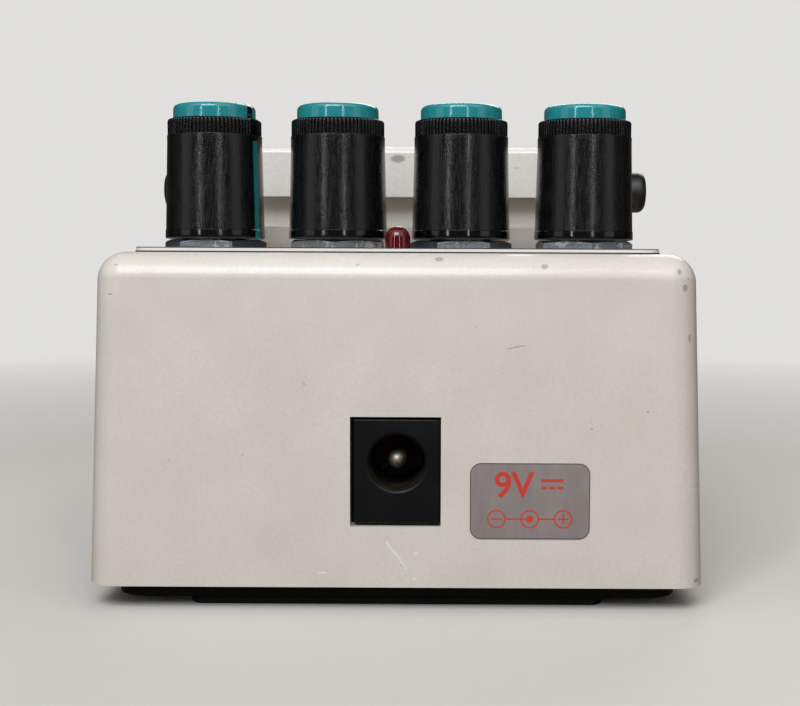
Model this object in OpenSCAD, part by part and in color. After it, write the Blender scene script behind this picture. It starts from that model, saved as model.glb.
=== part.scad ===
// Compact delay pedal: a die-cast enclosure, a sprung treadle, four control knobs in a row,
// a phone jack in each side and a power socket in the rear wall. Millimetres throughout.
// +X is the player's right, +Y is the rear wall, +Z is up, and the origin lies on the ground
// under the middle of the rubber base.

/* [Enclosure] */
// Width along the bottom edge
case_w = 72.9; // [71.5:0.1:80]
// Length along the bottom edge
case_d = 129; // [127:0.5:140]
// Height from the bottom edge to the control panel
case_h = 39.1; // [37:0.1:44]
// Draft of the two sides, in degrees
side_draft = 1.95; // [0.5:0.05:2.2]
// Draft of the front and rear walls, in degrees
end_draft = 0.8; // [0.5:0.1:2]
// Corner radius of the bottom outline
corner_r = 3.4; // [2:0.2:5]
// Rounding round the rear of the control panel
edge_r = 3.4; // [2:0.2:3.8]
// Rounding of the shoulder along the treadle
rim_r = 2.2; // [1:0.1:2.5]
// Thickness of the side and end walls
wall = 2.6; // [2:0.1:3]
// Thickness of the control panel and the deck
roof_t = 2.2; // [1.6:0.1:2.8]
// Height of the ledge behind the control panel
ledge_h = 3.5; // [2.5:0.1:4.2]
// Step from the treadle's rear face back to the ledge's face
ledge_step = 2.5; // [1.5:0.1:3]
// Thickness of the walls cast inside the enclosure
rib_t = 1.6; // [1.2:0.1:2]

/* [Base] */
// Thickness of the rubber base
rubber_t = 1; // [0.8:0.1:2]
// Thickness of the steel base plate
base_t = 1.9; // [1:0.1:2]
// Step from the enclosure's edge to the base plate's edge
base_inset = 2.7; // [1.5:0.1:3.5]
// Corner radius of the base plate
base_r = 4; // [2:0.5:6]
// Distance of the base screws from the base plate's edges
base_screw_inset = 4.8; // [4:0.1:6]
// Radius of the notches in the rubber round the screws
base_notch_r = 4.2; // [3:0.1:4.4]
// Radius of the base screws' heads
base_head_r = 2.6; // [2.2:0.1:2.9]

/* [Controls] */
// Spacing of the four knobs
knob_pitch = 15.2; // [14.6:0.1:16]
// Distance of the knob row from the rear wall's bottom edge
knob_inset = 12; // [11.5:0.1:14]
// Thickness of the control plate
plate_t = 0.6; // [0.3:0.05:0.8]
// Width of the control plate
plate_w = 62.4; // [60:0.2:64]
// Distance of the control plate from the rear wall's bottom edge
plate_inset = 4; // [3.5:0.1:5]
// Thickness of the nuts under the knobs
pot_nut_h = 0.8; // [0.6:0.1:2]
// Width of those nuts across their flats
pot_nut_af = 11; // [10.5:0.1:11.5]
// Gap between a nut and its knob
knob_gap = 0.2; // [0.2:0.05:0.6]
// Radius of a knob at its foot
knob_foot_r = 6.1; // [5.95:0.05:6.3]
// Radius of a knob below its ribbed ring
knob_neck_r = 5.8; // [5.75:0.05:5.9]
// Height of a knob from its foot to the ribbed ring
knob_body_h = 12.6; // [11:0.1:15]
// Height of the polished band at a knob's foot
knob_band_h = 1.1; // [0.8:0.1:2]
// Radius of the ribbed ring
ring_r = 5.7; // [5.5:0.05:5.75]
// Height of the ribbed ring
ring_h = 2; // [1.5:0.1:3]
// Number of ribs on the ring
ring_ribs = 72; // [36:12:90]
// Radius of a knob's coloured cap
cap_r = 5; // [4.6:0.05:5.1]
// Height of a knob's coloured cap
cap_h = 1.8; // [1.2:0.05:2.2]
// Width of the pointer on a knob
pointer_w = 1; // [0.6:0.1:1.4]
// Radius of a control's shaft
shaft_r = 3; // [2.5:0.05:3.05]
// Radius of a control's threaded bushing
bushing_r = 4; // [3.9:0.05:4.2]
// Radius of the status lamp
lamp_r = 1.5; // [1.2:0.05:1.6]
// Height of the status lamp above the control plate
lamp_h = 2.6; // [2:0.1:4]
// Distance of the status lamp from the control plate's rear edge
lamp_inset = 2.3; // [2.1:0.1:2.6]

/* [Treadle] */
// Distance of the treadle's rear face from the rear wall's bottom edge
lip_inset = 30; // [29:0.1:32]
// Height of the treadle's rear edge above the control panel
lip_rise = 14.8; // [14:0.1:17]
// Height of the treadle's rear face
lip_h = 7.1; // [6.5:0.1:7.6]
// Slope of the treadle, in degrees
treadle_slope = 14.3; // [13.5:0.1:15]
// Distance of the treadle's front face from the enclosure's bottom edge
tip_inset = 1; // [0.8:0.1:2]
// Thickness of the treadle's top
treadle_t = 2.4; // [2.2:0.1:2.8]
// Thickness of the treadle's skirts
skirt_t = 2.2; // [1.6:0.1:2.4]
// Depth of the treadle's front skirt
skirt_h = 10; // [9:0.1:11]
// Width of the enclosure's shoulder beside the treadle
shoulder = 3.4; // [3:0.1:3.6]
// Gap between the treadle and the enclosure all round
treadle_gap = 1; // [0.8:0.1:1.4]
// Angle that the treadle goes down, in degrees
press = 3; // [2:0.1:3.2]
// Distance of the hinge from the treadle's rear face
hinge_back = 5.3; // [5:0.1:6]
// Depth of the hinge below the treadle's rear edge
hinge_drop = 6.1; // [5.9:0.1:6.6]
// Radius of the hinge shaft
hinge_r = 1.5; // [1.2:0.05:1.6]
// Radius of the hinge bushes' heads
bush_head_r = 2.85; // [2.6:0.05:3.1]
// Thickness of the hinge bushes' heads
bush_head_t = 2.4; // [2:0.1:3]
// Width of the rubber tread
pad_w = 54; // [48:0.5:56]
// Gap between the rubber tread and the thumbscrew's notch, along the slope
pad_front = 5; // [3:0.5:15]
// Thickness of the rubber tread
pad_t = 1.8; // [1.2:0.1:2.4]
// Depth that the rubber tread is let into the treadle
pad_sunk = 0.7; // [0.4:0.1:1.1]
// Distance of the rubber tread from the treadle's rear edge, along the slope
pad_back = 28; // [22:0.5:30]

/* [Thumbscrew] */
// Radius of the thumbscrew's head
thumb_r = 5.7; // [5.2:0.1:6]
// Height of the thumbscrew's head
thumb_h = 4; // [3:0.1:5]
// Distance of the thumbscrew from the treadle's front edge, along the slope
thumb_front = 9.5; // [9:0.1:10.5]
// Depth of the thumbscrew's seat below the treadle's top
seat_n = 4.4; // [4:0.1:5]
// Radius of the thumbscrew's thread
thread_r = 2; // [1.5:0.1:2.2]
// Length of the thumbscrew's thread
thread_l = 8; // [6:0.5:9]

/* [Switch and spring] */
// Radius of the footswitch's plunger
plunger_r = 3; // [2.5:0.1:3.2]
// Gap between the footswitch and the deck's side wall
switch_side = 1.4; // [1:0.1:2.4]
// Width of the footswitch
switch_w = 12; // [10:0.5:12.5]
// Depth of the footswitch's foot below the treadle's top
switch_foot = 19; // [18:0.1:20]
// Middle radius of the treadle spring
spring_r = 4.2; // [3.6:0.1:4.4]
// Diameter of the spring's wire
wire_d = 0.9; // [0.7:0.05:1]
// Number of turns of the spring
spring_turns = 6; // [4:0.5:7]
// Depth of the spring's seat below the treadle's top
spring_n = 17; // [15:0.1:18]

/* [Sockets] */
// Radius of a phone jack's bore
jack_r = 3.25; // [3.2:0.01:3.4]
// Radius of a phone jack's threaded bushing
jack_bushing_r = 4.75; // [4.5:0.05:5]
// Depth of a phone jack's bore
jack_l = 30; // [28:0.5:30.5]
// Distance of the jacks from the hinge, towards the front
jack_back = 17.7; // [17:0.1:18.5]
// Height of the jacks above the bottom edge
jack_rise = 19.6; // [19:0.1:21]
// Depth of the flat round a jack, from the side's bottom edge
jack_flat = 1; // [1:0.05:1.6]
// Thickness of a jack's washer
jack_washer_t = 0.6; // [0.4:0.1:0.8]
// Thickness of a jack's nut
jack_nut_h = 1.6; // [1.2:0.1:2]
// Width of a jack's nut across its flats
jack_nut_af = 12.7; // [12:0.1:13]
// Width of the power socket's opening
power_w = 10.6; // [9.5:0.1:11]
// Height of the power socket's opening
power_h = 12.9; // [12:0.1:14]
// Height of that opening above the bottom edge
power_rise = 7.2; // [6.8:0.1:9]
// Height of the power socket's hole above the opening's foot
power_hole_rise = 7.5; // [6.5:0.05:8]
// Radius of the power socket's hole
power_r = 3.25; // [3:0.05:3.5]
// Radius of the power socket's pin
pin_r = 1.05; // [0.8:0.05:1.25]

/* [Battery and board] */
// Length of the battery without its terminals
battery_l = 46; // [44:0.5:46.5]
// Width of the battery
battery_w = 26.2; // [25:0.1:26.5]
// Thickness of the battery
battery_t = 17; // [16:0.1:17.5]
// Thickness of the battery snap
snap_t = 3.4; // [2.6:0.1:4]
// Height of the battery bay's floor above the bottom edge
bay_rise = 13.6; // [13:0.1:15]
// Width of the circuit board
board_w = 60; // [58:0.5:61]
// Reach of the circuit board past the battery bay
board_front = 14; // [12:0.5:16]
// Distance of the circuit board's screws from its sides
board_screw_inset = 6; // [5.5:0.1:7]
// Thickness of the circuit board
board_t = 1.6; // [1:0.1:2]
// Height of the circuit board above the bottom edge
board_rise = 4.6; // [4:0.1:5]

/* [Hidden] */
$fa = 4;
$fs = 0.3;
// Facets round the rounded corners that are blended
blend_fn = 32;
// Clearances: fixed fits, running shafts, loose holes, and pieces that pass each other
fit_gap = 0.02;
run_gap = 0.05;
hole_gap = 0.15;
pass_gap = 0.35;
// Overlap that makes a cut or a join clean
eps = 0.5;

// Heights
case_z = rubber_t + base_t;
panel_z = case_z + case_h;
plate_z = panel_z + plate_t;
nut_z = plate_z + pot_nut_h;
knob_z = nut_z + knob_gap;
ring_z = knob_z + knob_body_h;
cap_z = ring_z + ring_h;
lip_z = panel_z + lip_rise;
hinge_z = lip_z - hinge_drop;
ledge_z = panel_z + ledge_h;
jack_z = case_z + jack_rise;
power_z = case_z + power_rise;
power_hole_z = power_z + power_hole_rise;
bay_z = case_z + bay_rise;
board_z = case_z + board_rise;

// Places along the length
rear_y = case_d / 2;
knob_y = rear_y - knob_inset;
lamp_y = rear_y - plate_inset - lamp_inset;
lip_y = rear_y - lip_inset;
hinge_y = lip_y - hinge_back;
ledge_y = lip_y + ledge_step;
tip_y = -rear_y + tip_inset;
jack_y = hinge_y - jack_back;

// Hinge
boss_r = hinge_r + 1.2;
hump_y = hinge_y + boss_r;

// The enclosure's half width, and the half length of its ends, at a height
function half_w(z) = case_w / 2 - (z - case_z) * tan(side_draft);
function half_d(z) = rear_y - (z - case_z) * tan(end_draft);

// The treadle's top, skirt edge and the rim and deck under it, along the length
function top_z(y) = lip_z - (lip_y - y) * tan(treadle_slope);
skirt_z = top_z(tip_y) - skirt_h;
press_drop = (hinge_y - tip_y) * sin(press) + (hinge_z - skirt_z) * sin(press) * tan(treadle_slope);
press_back = (hinge_z - skirt_z) * sin(press);
rim_z = skirt_z - treadle_gap - press_drop;
rim_tip_y = -half_d(rim_z);
function rim_at(y) = rim_z + (panel_z - rim_z) * (y - rim_tip_y) / (hinge_y - rim_tip_y);
skirt_rear_z = panel_z + plate_t + treadle_gap;
function skirt_at(y) = skirt_z + (skirt_rear_z - skirt_z) * (y - tip_y) / (hinge_y - tip_y);
function deck_at(y) = top_z(y) - treadle_t / cos(treadle_slope) - treadle_gap
  - (hinge_y - y) * sin(press) / cos(treadle_slope);
deck_inset = shoulder + skirt_t + treadle_gap;
deck_tip_y = tip_y + skirt_t + press_back + treadle_gap;

// Along the treadle: u runs down the slope from the rear edge, n is the depth below the top
hinge_u = hinge_back * cos(treadle_slope) + hinge_drop * sin(treadle_slope);
treadle_u = (lip_y - tip_y) / cos(treadle_slope);
function deck_n(u) = treadle_t + treadle_gap + (u - hinge_u) * sin(press);
thumb_u = treadle_u - thumb_front;

// Battery bay in front of the jacks, then the spring and the footswitch, one at each side
jack_body_w = 15;
bay_play = 0.5;
bay_hw = (battery_l + snap_t) / 2 + bay_play;
bay_y1 = jack_y - jack_body_w / 2 - rib_t - 1;
bay_y0 = bay_y1 - battery_w - 2 * bay_play;
spring_cup_r = spring_r + wire_d / 2 + 1.2;
function lean(n) = n * sin(treadle_slope);
spring_u = (lip_y - bay_y0 + 2 * rib_t + spring_cup_r + lean(spring_n)) / cos(treadle_slope);
switch_u = (lip_y - bay_y0 + 2 * rib_t + switch_w / 2 + lean(switch_foot)) / cos(treadle_slope);
switch_x = half_w(panel_z) - deck_inset - wall - switch_side - switch_w / 2;
spring_x = -switch_x;
pusher_h = 2;
pusher_r = plunger_r - 0.2;
plunger_n = treadle_t + pusher_h + pass_gap;
switch_n = deck_n(switch_u) + roof_t + 0.6;
switch_h = switch_foot - switch_n;

// Thumbscrew: seat in the treadle, well in the deck and thread in the insert
seat_t = 2.4;
notch_r = thumb_r + 0.9;
notch_wall = 1.8;
well_r = notch_r + notch_wall + treadle_gap;
well_n = seat_n + seat_t + (thumb_u - hinge_u) * sin(press) + treadle_gap;
shoulder_r = thread_r + 0.5;
guide_r = shoulder_r + pass_gap + 0.8;
guide_flange_t = 0.8;
washer_t = 0.6;
washer_n = seat_n - guide_flange_t - 0.2;
head_n = washer_n - washer_t - 0.1;
insert_r = thread_r + 1.4;
pad_l = thumb_u - notch_r - pad_front - pad_back;
pad_r = 4;
pad_step = 0.5;

// Base outline and its screws
base_hw = case_w / 2 - base_inset;
base_hd = case_d / 2 - base_inset;
base_screw_x = base_hw - base_screw_inset;
base_screw_y = base_hd - base_screw_inset;
base_screw_r = 1.5;
base_screw_l = 10;

// Jacks in the two sides
jack_face = case_w / 2 - jack_flat;
jack_inner = jack_face - wall;
jack_end = jack_face + jack_washer_t + jack_nut_h;
jack_hole_r = jack_bushing_r + hole_gap;
jack_nut_r = jack_nut_af / 2 / cos(30);
jack_pad_r = jack_nut_r + 0.8;
jack_bottom = 1.7;

// Power socket: its face, its depth, how far in the hole ends and the pin begins, and its gap in the opening
power_y = half_d(power_z + power_h) - 0.2;
power_depth = 12;
power_hole_l = 9.5;
power_pin_in = 2.5;
power_slack = 0.3;
power_x = hole_gap - power_slack;

// Knobs from the player's left to right, and where each pointer stands, clockwise from the rear
level_x = -1.5 * knob_pitch;
feedback_x = -0.5 * knob_pitch;
time_x = 0.5 * knob_pitch;
mode_x = 1.5 * knob_pitch;
level_turn = -150;
feedback_turn = -150;
time_turn = -150;
mode_turn = -67;
knob_xs = [level_x, feedback_x, time_x, mode_x];
nut_turns = [34, 3, 30, -2];
rib_depth = 0.16;
ring_bevel = 0.35;
lamp_flange_r = lamp_r + 0.4;
pot_w = knob_pitch - 2 * (lamp_flange_r + 0.2);
pot_h = 8.6;
shaft_z = panel_z - roof_t - 6;

// Board fixings
post_r = 2.5;
board_y1 = knob_y - 1;
board_y0 = bay_y0 - board_front;
board_post_x = board_w / 2 - board_screw_inset;
board_post_ys = [bay_y0 + post_r, ledge_y + 1];
board_screw_r = 1.25;
board_screw_l = 5;
board_head_r = 2.3;
board_head_h = 1.2;

// Parts on the board: the delay chip, two memories at each side of it, amplifiers and capacitors
chip_h = 3.4;
chip_dent_r = 1;
delay_w = 14;
delay_l = 36;
memory_w = 7.6;
memory_l = 19;
memory_gap = 3;
memory_x = board_post_x - post_r - 0.7 - memory_w / 2;
amp_w = 6.4;
amp_l = 10;
can_r = 2.5;
can_h = 4.5;
can_pitch = 10.5;
can_row = 7;

// Battery terminals and the snap over them
terminal_r = 2.8;
terminal_h = 2;
snap_h = 13;
snap_inset = 0.6;

// Colours
cream = "#e6e1d2";
ink = "#161618";
teal = "#12938a";
steel = "#b9bcc0";
zinc = "#6f7276";
rubber = "#1f1f21";
brass = "#b08d4a";

// Shared shapes

// An outline in the side view, [y, z], made w wide across the middle
module side_profile(points, w = 2 * case_w) {
  rotate([90, 0, 90]) linear_extrude(height = w, center = true) polygon(points);
}

// The enclosure's tapering width, less an inset on each side, between two heights
module tapered(inset, z0, z1) {
  rotate([90, 0, 0]) linear_extrude(height = 2 * case_d, center = true) polygon([
    [inset - half_w(z0), z0], [half_w(z0) - inset, z0],
    [half_w(z1) - inset, z1], [inset - half_w(z1), z1]]);
}

// Places a shape on the treadle's top, u down the slope and square to it
module on_treadle(u, x = 0) {
  translate([x, lip_y - u * cos(treadle_slope), lip_z - u * sin(treadle_slope)])
    rotate([treadle_slope, 0, 0]) children();
}

// A cylinder along the treadle's normal, between two depths below its top
module sunk(r, n0, n1) {
  translate([0, 0, -n1]) cylinder(r = r, h = n1 - n0);
}

// A slot along the treadle's normal that is round at the rear and runs out of the front
module sunk_notch(r, n0, n1, run) {
  sunk(r, n0, n1);
  translate([-r, -run, -n1]) cube([2 * r, run, n1 - n0]);
}

// A cylinder along X from x0 to x1
module along_x(r, x0, x1) {
  translate([x0, 0, 0]) rotate([0, 90, 0]) cylinder(r = r, h = x1 - x0);
}

// A flat plate with rounded corners, from its half sizes
module rounded_outline(hw, hd, r) {
  square([2 * hw, 2 * (hd - r)], center = true);
  square([2 * (hw - r), 2 * hd], center = true);
  for (x = [r - hw, hw - r], y = [r - hd, hd - r]) translate([x, y]) circle(r);
}

// A hexagon nut with a chamfered outer face and a bore, standing on z = 0
module hex_nut(af, h, bore) {
  corner = af / 2 / cos(30);
  difference() {
    intersection() {
      cylinder(r = corner, h = h, $fn = 6);
      cylinder(r1 = corner + h * 1.5, r2 = af / 2 - 0.1, h = h);
    }
    translate([0, 0, -eps]) cylinder(r = bore, h = h + 2 * eps);
  }
}

// A round outline with ribs, as on a knob's grip
function ribbed(r, count, depth) = [for (i = [0:2 * count - 1])
  (r - depth * (i % 2)) * [cos(180 * i / count), sin(180 * i / count)]];

// Points on an arc about a centre
function arc(c, r, a0, a1, steps) = [for (i = [0:steps])
  c + r * [cos(a0 + (a1 - a0) * i / steps), sin(a0 + (a1 - a0) * i / steps)]];

// Enclosure

// The blended outer form: rounded rear box that falls away towards the front
module tub_solid() {
  hull() for (side = [-1, 1]) {
    for (end = [-1, 1])
      translate([side * (case_w / 2 - corner_r), end * (rear_y - corner_r), case_z])
        cylinder(r = corner_r, h = 0.01, $fn = blend_fn);
    rounded_top(side, half_d(panel_z - edge_r) - edge_r, panel_z, edge_r);
    rounded_top(side, hinge_y, panel_z, rim_r);
    rounded_top(side, rim_tip_y + rim_r, rim_z, rim_r);
  }
}

// One rounded upper corner of the enclosure, reaching exactly to height z
module rounded_top(side, y, z, r) {
  translate([side * (half_w(z - r) - r), y, z - r]) {
    sphere(r = r, $fn = blend_fn);
    cylinder(r = r / 10, h = r, $fn = blend_fn);
  }
}

module tub_hollow() {
  foot = case_z - eps;
  roof = panel_z - roof_t;
  inner_tip = rim_tip_y + wall;
  intersection() {
    tapered(wall, foot, panel_z);
    side_profile([[half_d(foot) - wall, foot], [half_d(roof) - wall, roof], [hinge_y, roof],
      [inner_tip, rim_at(inner_tip) - roof_t], [-half_d(foot) + wall, foot]]);
  }
}

// The raised deck under the treadle, with the ledge and the hump that carries the hinge
module deck_solid() {
  foot = rim_z - roof_t;
  hump_tip = hinge_y - 2 * boss_r;
  intersection() {
    tapered(deck_inset, foot, hinge_z + boss_r);
    union() {
      side_profile([[ledge_y, panel_z - roof_t / 2], [ledge_y, ledge_z], [hump_y, ledge_z],
        [hump_y, hinge_z], [hinge_y, hinge_z], [hump_tip, deck_at(hump_tip)],
        [deck_tip_y, deck_at(deck_tip_y)], [deck_tip_y, foot], [hinge_y, foot]]);
      translate([0, hinge_y, hinge_z]) along_x(boss_r, -case_w, case_w);
    }
  }
}

module deck_hollow() {
  inner_tip = deck_tip_y + wall;
  inner_rear = hump_y - wall;
  foot = rim_z - roof_t;
  hump_tip = hinge_y - 2 * boss_r;
  roof = hinge_z - boss_r - 1;
  intersection() {
    tapered(deck_inset + wall, foot, hinge_z);
    side_profile([[inner_rear, panel_z - 2 * roof_t], [inner_rear, roof], [hump_tip, roof],
      [inner_tip, deck_at(inner_tip) - roof_t], [inner_tip, rim_at(inner_tip) - 2 * roof_t]]);
  }
}

// Walls round the battery, hung from the deck
module bay_walls() {
  y0 = bay_y0 - rib_t;
  y1 = bay_y1 + rib_t;
  side_profile([[y0, bay_z - rib_t], [y0, deck_at(y0) - roof_t / 2],
    [y1, deck_at(y1) - roof_t / 2], [y1, bay_z - rib_t]], 2 * (bay_hw + rib_t));
}

// Cup under the deck for the spring, and the well and boss for the thumbscrew
module deck_sockets() {
  on_treadle(spring_u, spring_x) sunk(spring_cup_r + rib_t, deck_n(spring_u) + roof_t / 2, spring_n + rib_t);
  intersection() {
    on_treadle(thumb_u) {
      sunk_notch(well_r + rib_t, deck_n(thumb_u) + roof_t, well_n + roof_t, thumb_front);
      sunk(insert_r + rib_t, well_n, well_n + thread_l + 1.5);
    }
    side_profile([[deck_tip_y + eps, case_z], [deck_tip_y + eps, lip_z], [lip_y, lip_z], [lip_y, case_z]]);
  }
}

// Posts for the base screws in the corners, and for the circuit board
module posts() {
  post_h = base_screw_l + 1;
  for (x = [0, 1], y = [0, 1]) mirror([x, 0, 0]) mirror([0, y, 0])
    translate([base_screw_x, base_screw_y, case_z]) {
      cylinder(r = base_screw_inset, h = post_h);
      cube([half_w(panel_z) - wall / 2 - base_screw_x, half_d(panel_z) - wall / 2 - base_screw_y, post_h]);
    }
  for (x = [-1, 1]) {
    board_post(x * board_post_x, board_post_ys[0], bay_z - rib_t / 2);
    board_post(x * board_post_x, board_post_ys[1], panel_z - roof_t / 2);
  }
}

module board_post(x, y, z) {
  translate([x, y, board_z + board_t]) cylinder(r = post_r, h = z - board_z - board_t);
}

// Everything cut through the finished casting
module case_cuts() {
  translate([-bay_hw, bay_y0, bay_z]) cube([2 * bay_hw, bay_y1 - bay_y0, lip_z]);
  on_treadle(spring_u, spring_x) sunk(spring_cup_r, 0, spring_n);
  on_treadle(thumb_u) {
    sunk_notch(well_r, 0, well_n, 2 * thumb_front);
    sunk(insert_r + fit_gap, 0, well_n + thread_l + 0.5);
  }
  on_treadle(switch_u, switch_x) sunk(plunger_r + 4 * pass_gap, 0, switch_n + eps);
  translate([0, hinge_y, hinge_z]) along_x(hinge_r + fit_gap, -case_w, case_w);
  for (x = knob_xs) translate([x, knob_y, panel_z - 2 * roof_t])
    cylinder(r = bushing_r + hole_gap, h = 3 * roof_t);
  translate([0, lamp_y, panel_z - 2 * roof_t]) cylinder(r = lamp_r + hole_gap, h = 3 * roof_t);
  translate([-power_w / 2, rear_y - 2 * wall, power_z]) cube([power_w, 3 * wall, power_h]);
  for (side = [0, 1]) mirror([side, 0, 0]) translate([0, jack_y, jack_z]) {
    along_x(jack_hole_r, jack_inner - eps, case_w);
    along_x(jack_pad_r, jack_face, case_w);
  }
  for (x = [-1, 1], y = [-1, 1]) translate([x * base_screw_x, y * base_screw_y, case_z - eps])
    cylinder(r = base_screw_r + fit_gap, h = base_screw_l + eps);
  for (x = [-1, 1], y = board_post_ys) translate([x * board_post_x, y, board_z])
    cylinder(r = board_screw_r + fit_gap, h = board_t + board_screw_l + 0.5);
}

module enclosure() {
  color(cream) difference() {
    union() {
      difference() {
        union() {
          tub_solid();
          deck_solid();
        }
        tub_hollow();
        deck_hollow();
      }
      bay_walls();
      deck_sockets();
      posts();
      for (side = [0, 1]) mirror([side, 0, 0]) translate([0, jack_y, jack_z])
        along_x(jack_pad_r, jack_inner, jack_face - eps);
    }
    case_cuts();
  }
}

module control_plate() {
  front = ledge_y + 0.6;
  rear = rear_y - plate_inset;
  color(steel) translate([0, (front + rear) / 2, panel_z]) linear_extrude(height = plate_t) difference() {
    rounded_outline(plate_w / 2, (rear - front) / 2, 2);
    for (x = knob_xs) translate([x, knob_y - (front + rear) / 2]) circle(bushing_r + hole_gap);
    translate([0, lamp_y - (front + rear) / 2]) circle(lamp_r + hole_gap);
  }
}

// Base

module base_plate() {
  color(ink) translate([0, 0, rubber_t]) difference() {
    linear_extrude(height = base_t) rounded_outline(base_hw, base_hd, base_r);
    for (x = [-1, 1], y = [-1, 1]) translate([x * base_screw_x, y * base_screw_y, -eps])
      cylinder(r = base_screw_r + hole_gap, h = base_t + 2 * eps);
  }
}

// The mat stops short of the base plate's edge, and its edge runs round into a notch at each screw
module rubber_base() {
  mat_step = 0.4;
  notch_round = 1.6;
  reach = base_notch_r + base_screw_inset;
  edge = base_screw_inset - mat_step;
  color(rubber) linear_extrude(height = rubber_t) difference() {
    rounded_outline(base_hw - mat_step, base_hd - mat_step, base_r);
    for (x = [0, 1], y = [0, 1]) mirror([x, 0]) mirror([0, y]) translate([base_screw_x, base_screw_y]) {
      circle(base_notch_r);
      translate([-base_notch_r, 0]) square([2 * reach, 2 * reach]);
      translate([0, -base_notch_r]) square([2 * reach, 2 * reach]);
      for (corner = [[-base_notch_r, edge], [edge, -base_notch_r]])
        translate([corner.x - notch_round, corner.y - notch_round]) difference() {
          square(notch_round + eps);
          circle(notch_round);
        }
    }
  }
}

module base_screws() {
  head_h = rubber_t - 0.3;
  color(zinc) for (x = [-1, 1], y = [-1, 1])
    translate([x * base_screw_x, y * base_screw_y, rubber_t - head_h]) difference() {
      union() {
        cylinder(r1 = base_head_r - 0.4, r2 = base_head_r, h = head_h);
        cylinder(r = base_screw_r, h = head_h + base_t + base_screw_l - 1);
      }
      for (a = [0, 90]) rotate(a) translate([-1.4, -0.3, -eps]) cube([2.8, 0.6, eps + head_h / 2]);
    }
}

// Controls

module status_lamp() {
  color("#c01c24") translate([0, lamp_y, 0]) {
    translate([0, 0, panel_z - roof_t - 1]) cylinder(r = lamp_flange_r, h = 1);
    translate([0, 0, panel_z - roof_t - 1]) cylinder(r = lamp_r, h = roof_t + 1 + plate_t + lamp_h - lamp_r);
    translate([0, 0, plate_z + lamp_h - lamp_r]) sphere(r = lamp_r);
  }
}

module pot_nuts() {
  color(zinc) for (i = [0:3]) translate([knob_xs[i], knob_y, plate_z])
    rotate(nut_turns[i]) hex_nut(pot_nut_af, pot_nut_h, bushing_r + fit_gap);
}

// A control's bushing and the bore that its shaft turns in
module bushing(x) {
  difference() {
    union() {
      children();
      translate([x, knob_y, panel_z - roof_t - eps])
        cylinder(r = bushing_r, h = roof_t + eps + plate_t + pot_nut_h + 1.2);
    }
    translate([x, knob_y, shaft_z - 0.2]) cylinder(r = shaft_r + run_gap, h = knob_body_h + 20);
  }
}

// A potentiometer: square case, folded cover under it and three soldering lugs
module pot(x) {
  foot = panel_z - roof_t - pot_h;
  lug_pitch = 3.8;
  color(steel) bushing(x) {
    translate([x - pot_w / 2, knob_y - pot_w / 2, foot]) cube([pot_w, pot_w, pot_h]);
    translate([x, knob_y, foot - 0.8]) cylinder(r = pot_w / 2 - 0.6, h = 1);
    for (i = [-1:1]) translate([x + i * lug_pitch - 0.8, knob_y - pot_w / 2 - 4, foot + 1])
      cube([1.6, 4.5, 0.6]);
  }
}

module level_pot() { pot(level_x); }

module feedback_pot() { pot(feedback_x); }

module time_pot() { pot(time_x); }

// The four-way switch: a round wafer body with its lugs round the foot
module mode_switch() {
  r = pot_w / 2 + 0.2;
  foot = panel_z - roof_t - pot_h - 2;
  lugs = 8;
  color(steel) bushing(mode_x) {
    translate([mode_x, knob_y, foot]) cylinder(r = r, h = pot_h + 2);
    for (i = [0:lugs - 1]) translate([mode_x, knob_y, foot - 3]) rotate(360 * i / lugs)
      translate([r - 1.6, -0.6, 0]) cube([0.6, 1.2, 3.5]);
  }
}

module control_shaft(x) {
  color(steel) translate([x, knob_y, shaft_z]) cylinder(r = shaft_r, h = cap_z - 1.2 - shaft_z);
}

module level_shaft() { control_shaft(level_x); }

module feedback_shaft() { control_shaft(feedback_x); }

module time_shaft() { control_shaft(time_x); }

module mode_shaft() { control_shaft(mode_x); }

// A knob: tapering skirt, step to the ribbed ring, pointer groove in line with a rib in the cap
module knob(x, turn) {
  taper = (knob_foot_r - knob_neck_r) / knob_body_h;
  band_r = knob_foot_r - taper * knob_band_h;
  skirt_hollow = pot_nut_h + 1.2 - knob_gap;
  groove = 0.25;
  lean = atan(taper);
  color(ink) translate([x, knob_y, knob_z]) rotate(-turn) difference() {
    union() {
      rotate_extrude() polygon(concat([[0, 0], [knob_foot_r - 0.3, 0]],
        arc([knob_foot_r - 0.3, 0.3], 0.3, -90, 0, 4),
        [[band_r, knob_band_h], [band_r - 0.08, knob_band_h + 0.1], [knob_neck_r, knob_body_h],
          [0, knob_body_h]]));
      translate([0, 0, knob_body_h - eps]) linear_extrude(height = ring_h - ring_bevel + eps)
        polygon(ribbed(ring_r, ring_ribs, rib_depth));
      translate([0, 0, knob_body_h + ring_h - ring_bevel])
        cylinder(r1 = ring_r - 2 * rib_depth, r2 = ring_r - 3 * rib_depth, h = ring_bevel);
      translate([-pointer_w / 2, 0, knob_body_h + ring_h - eps])
        cube([pointer_w, cap_r - 0.05, eps + cap_h - 0.12]);
    }
    translate([0, 0, -eps]) cylinder(r = bushing_r + pass_gap, h = skirt_hollow + eps);
    translate([0, 0, -eps]) cylinder(r = shaft_r + fit_gap, h = knob_body_h + ring_h - 1 + eps);
    translate([0, band_r - groove, knob_band_h + 0.1]) rotate([lean, 0, 0])
      translate([-pointer_w / 2, 0, 0]) cube([pointer_w, 2, knob_body_h - knob_band_h - 0.4]);
  }
}

module level_knob() { knob(level_x, level_turn); }

module feedback_knob() { knob(feedback_x, feedback_turn); }

module time_knob() { knob(time_x, time_turn); }

module mode_knob() { knob(mode_x, mode_turn); }

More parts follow.
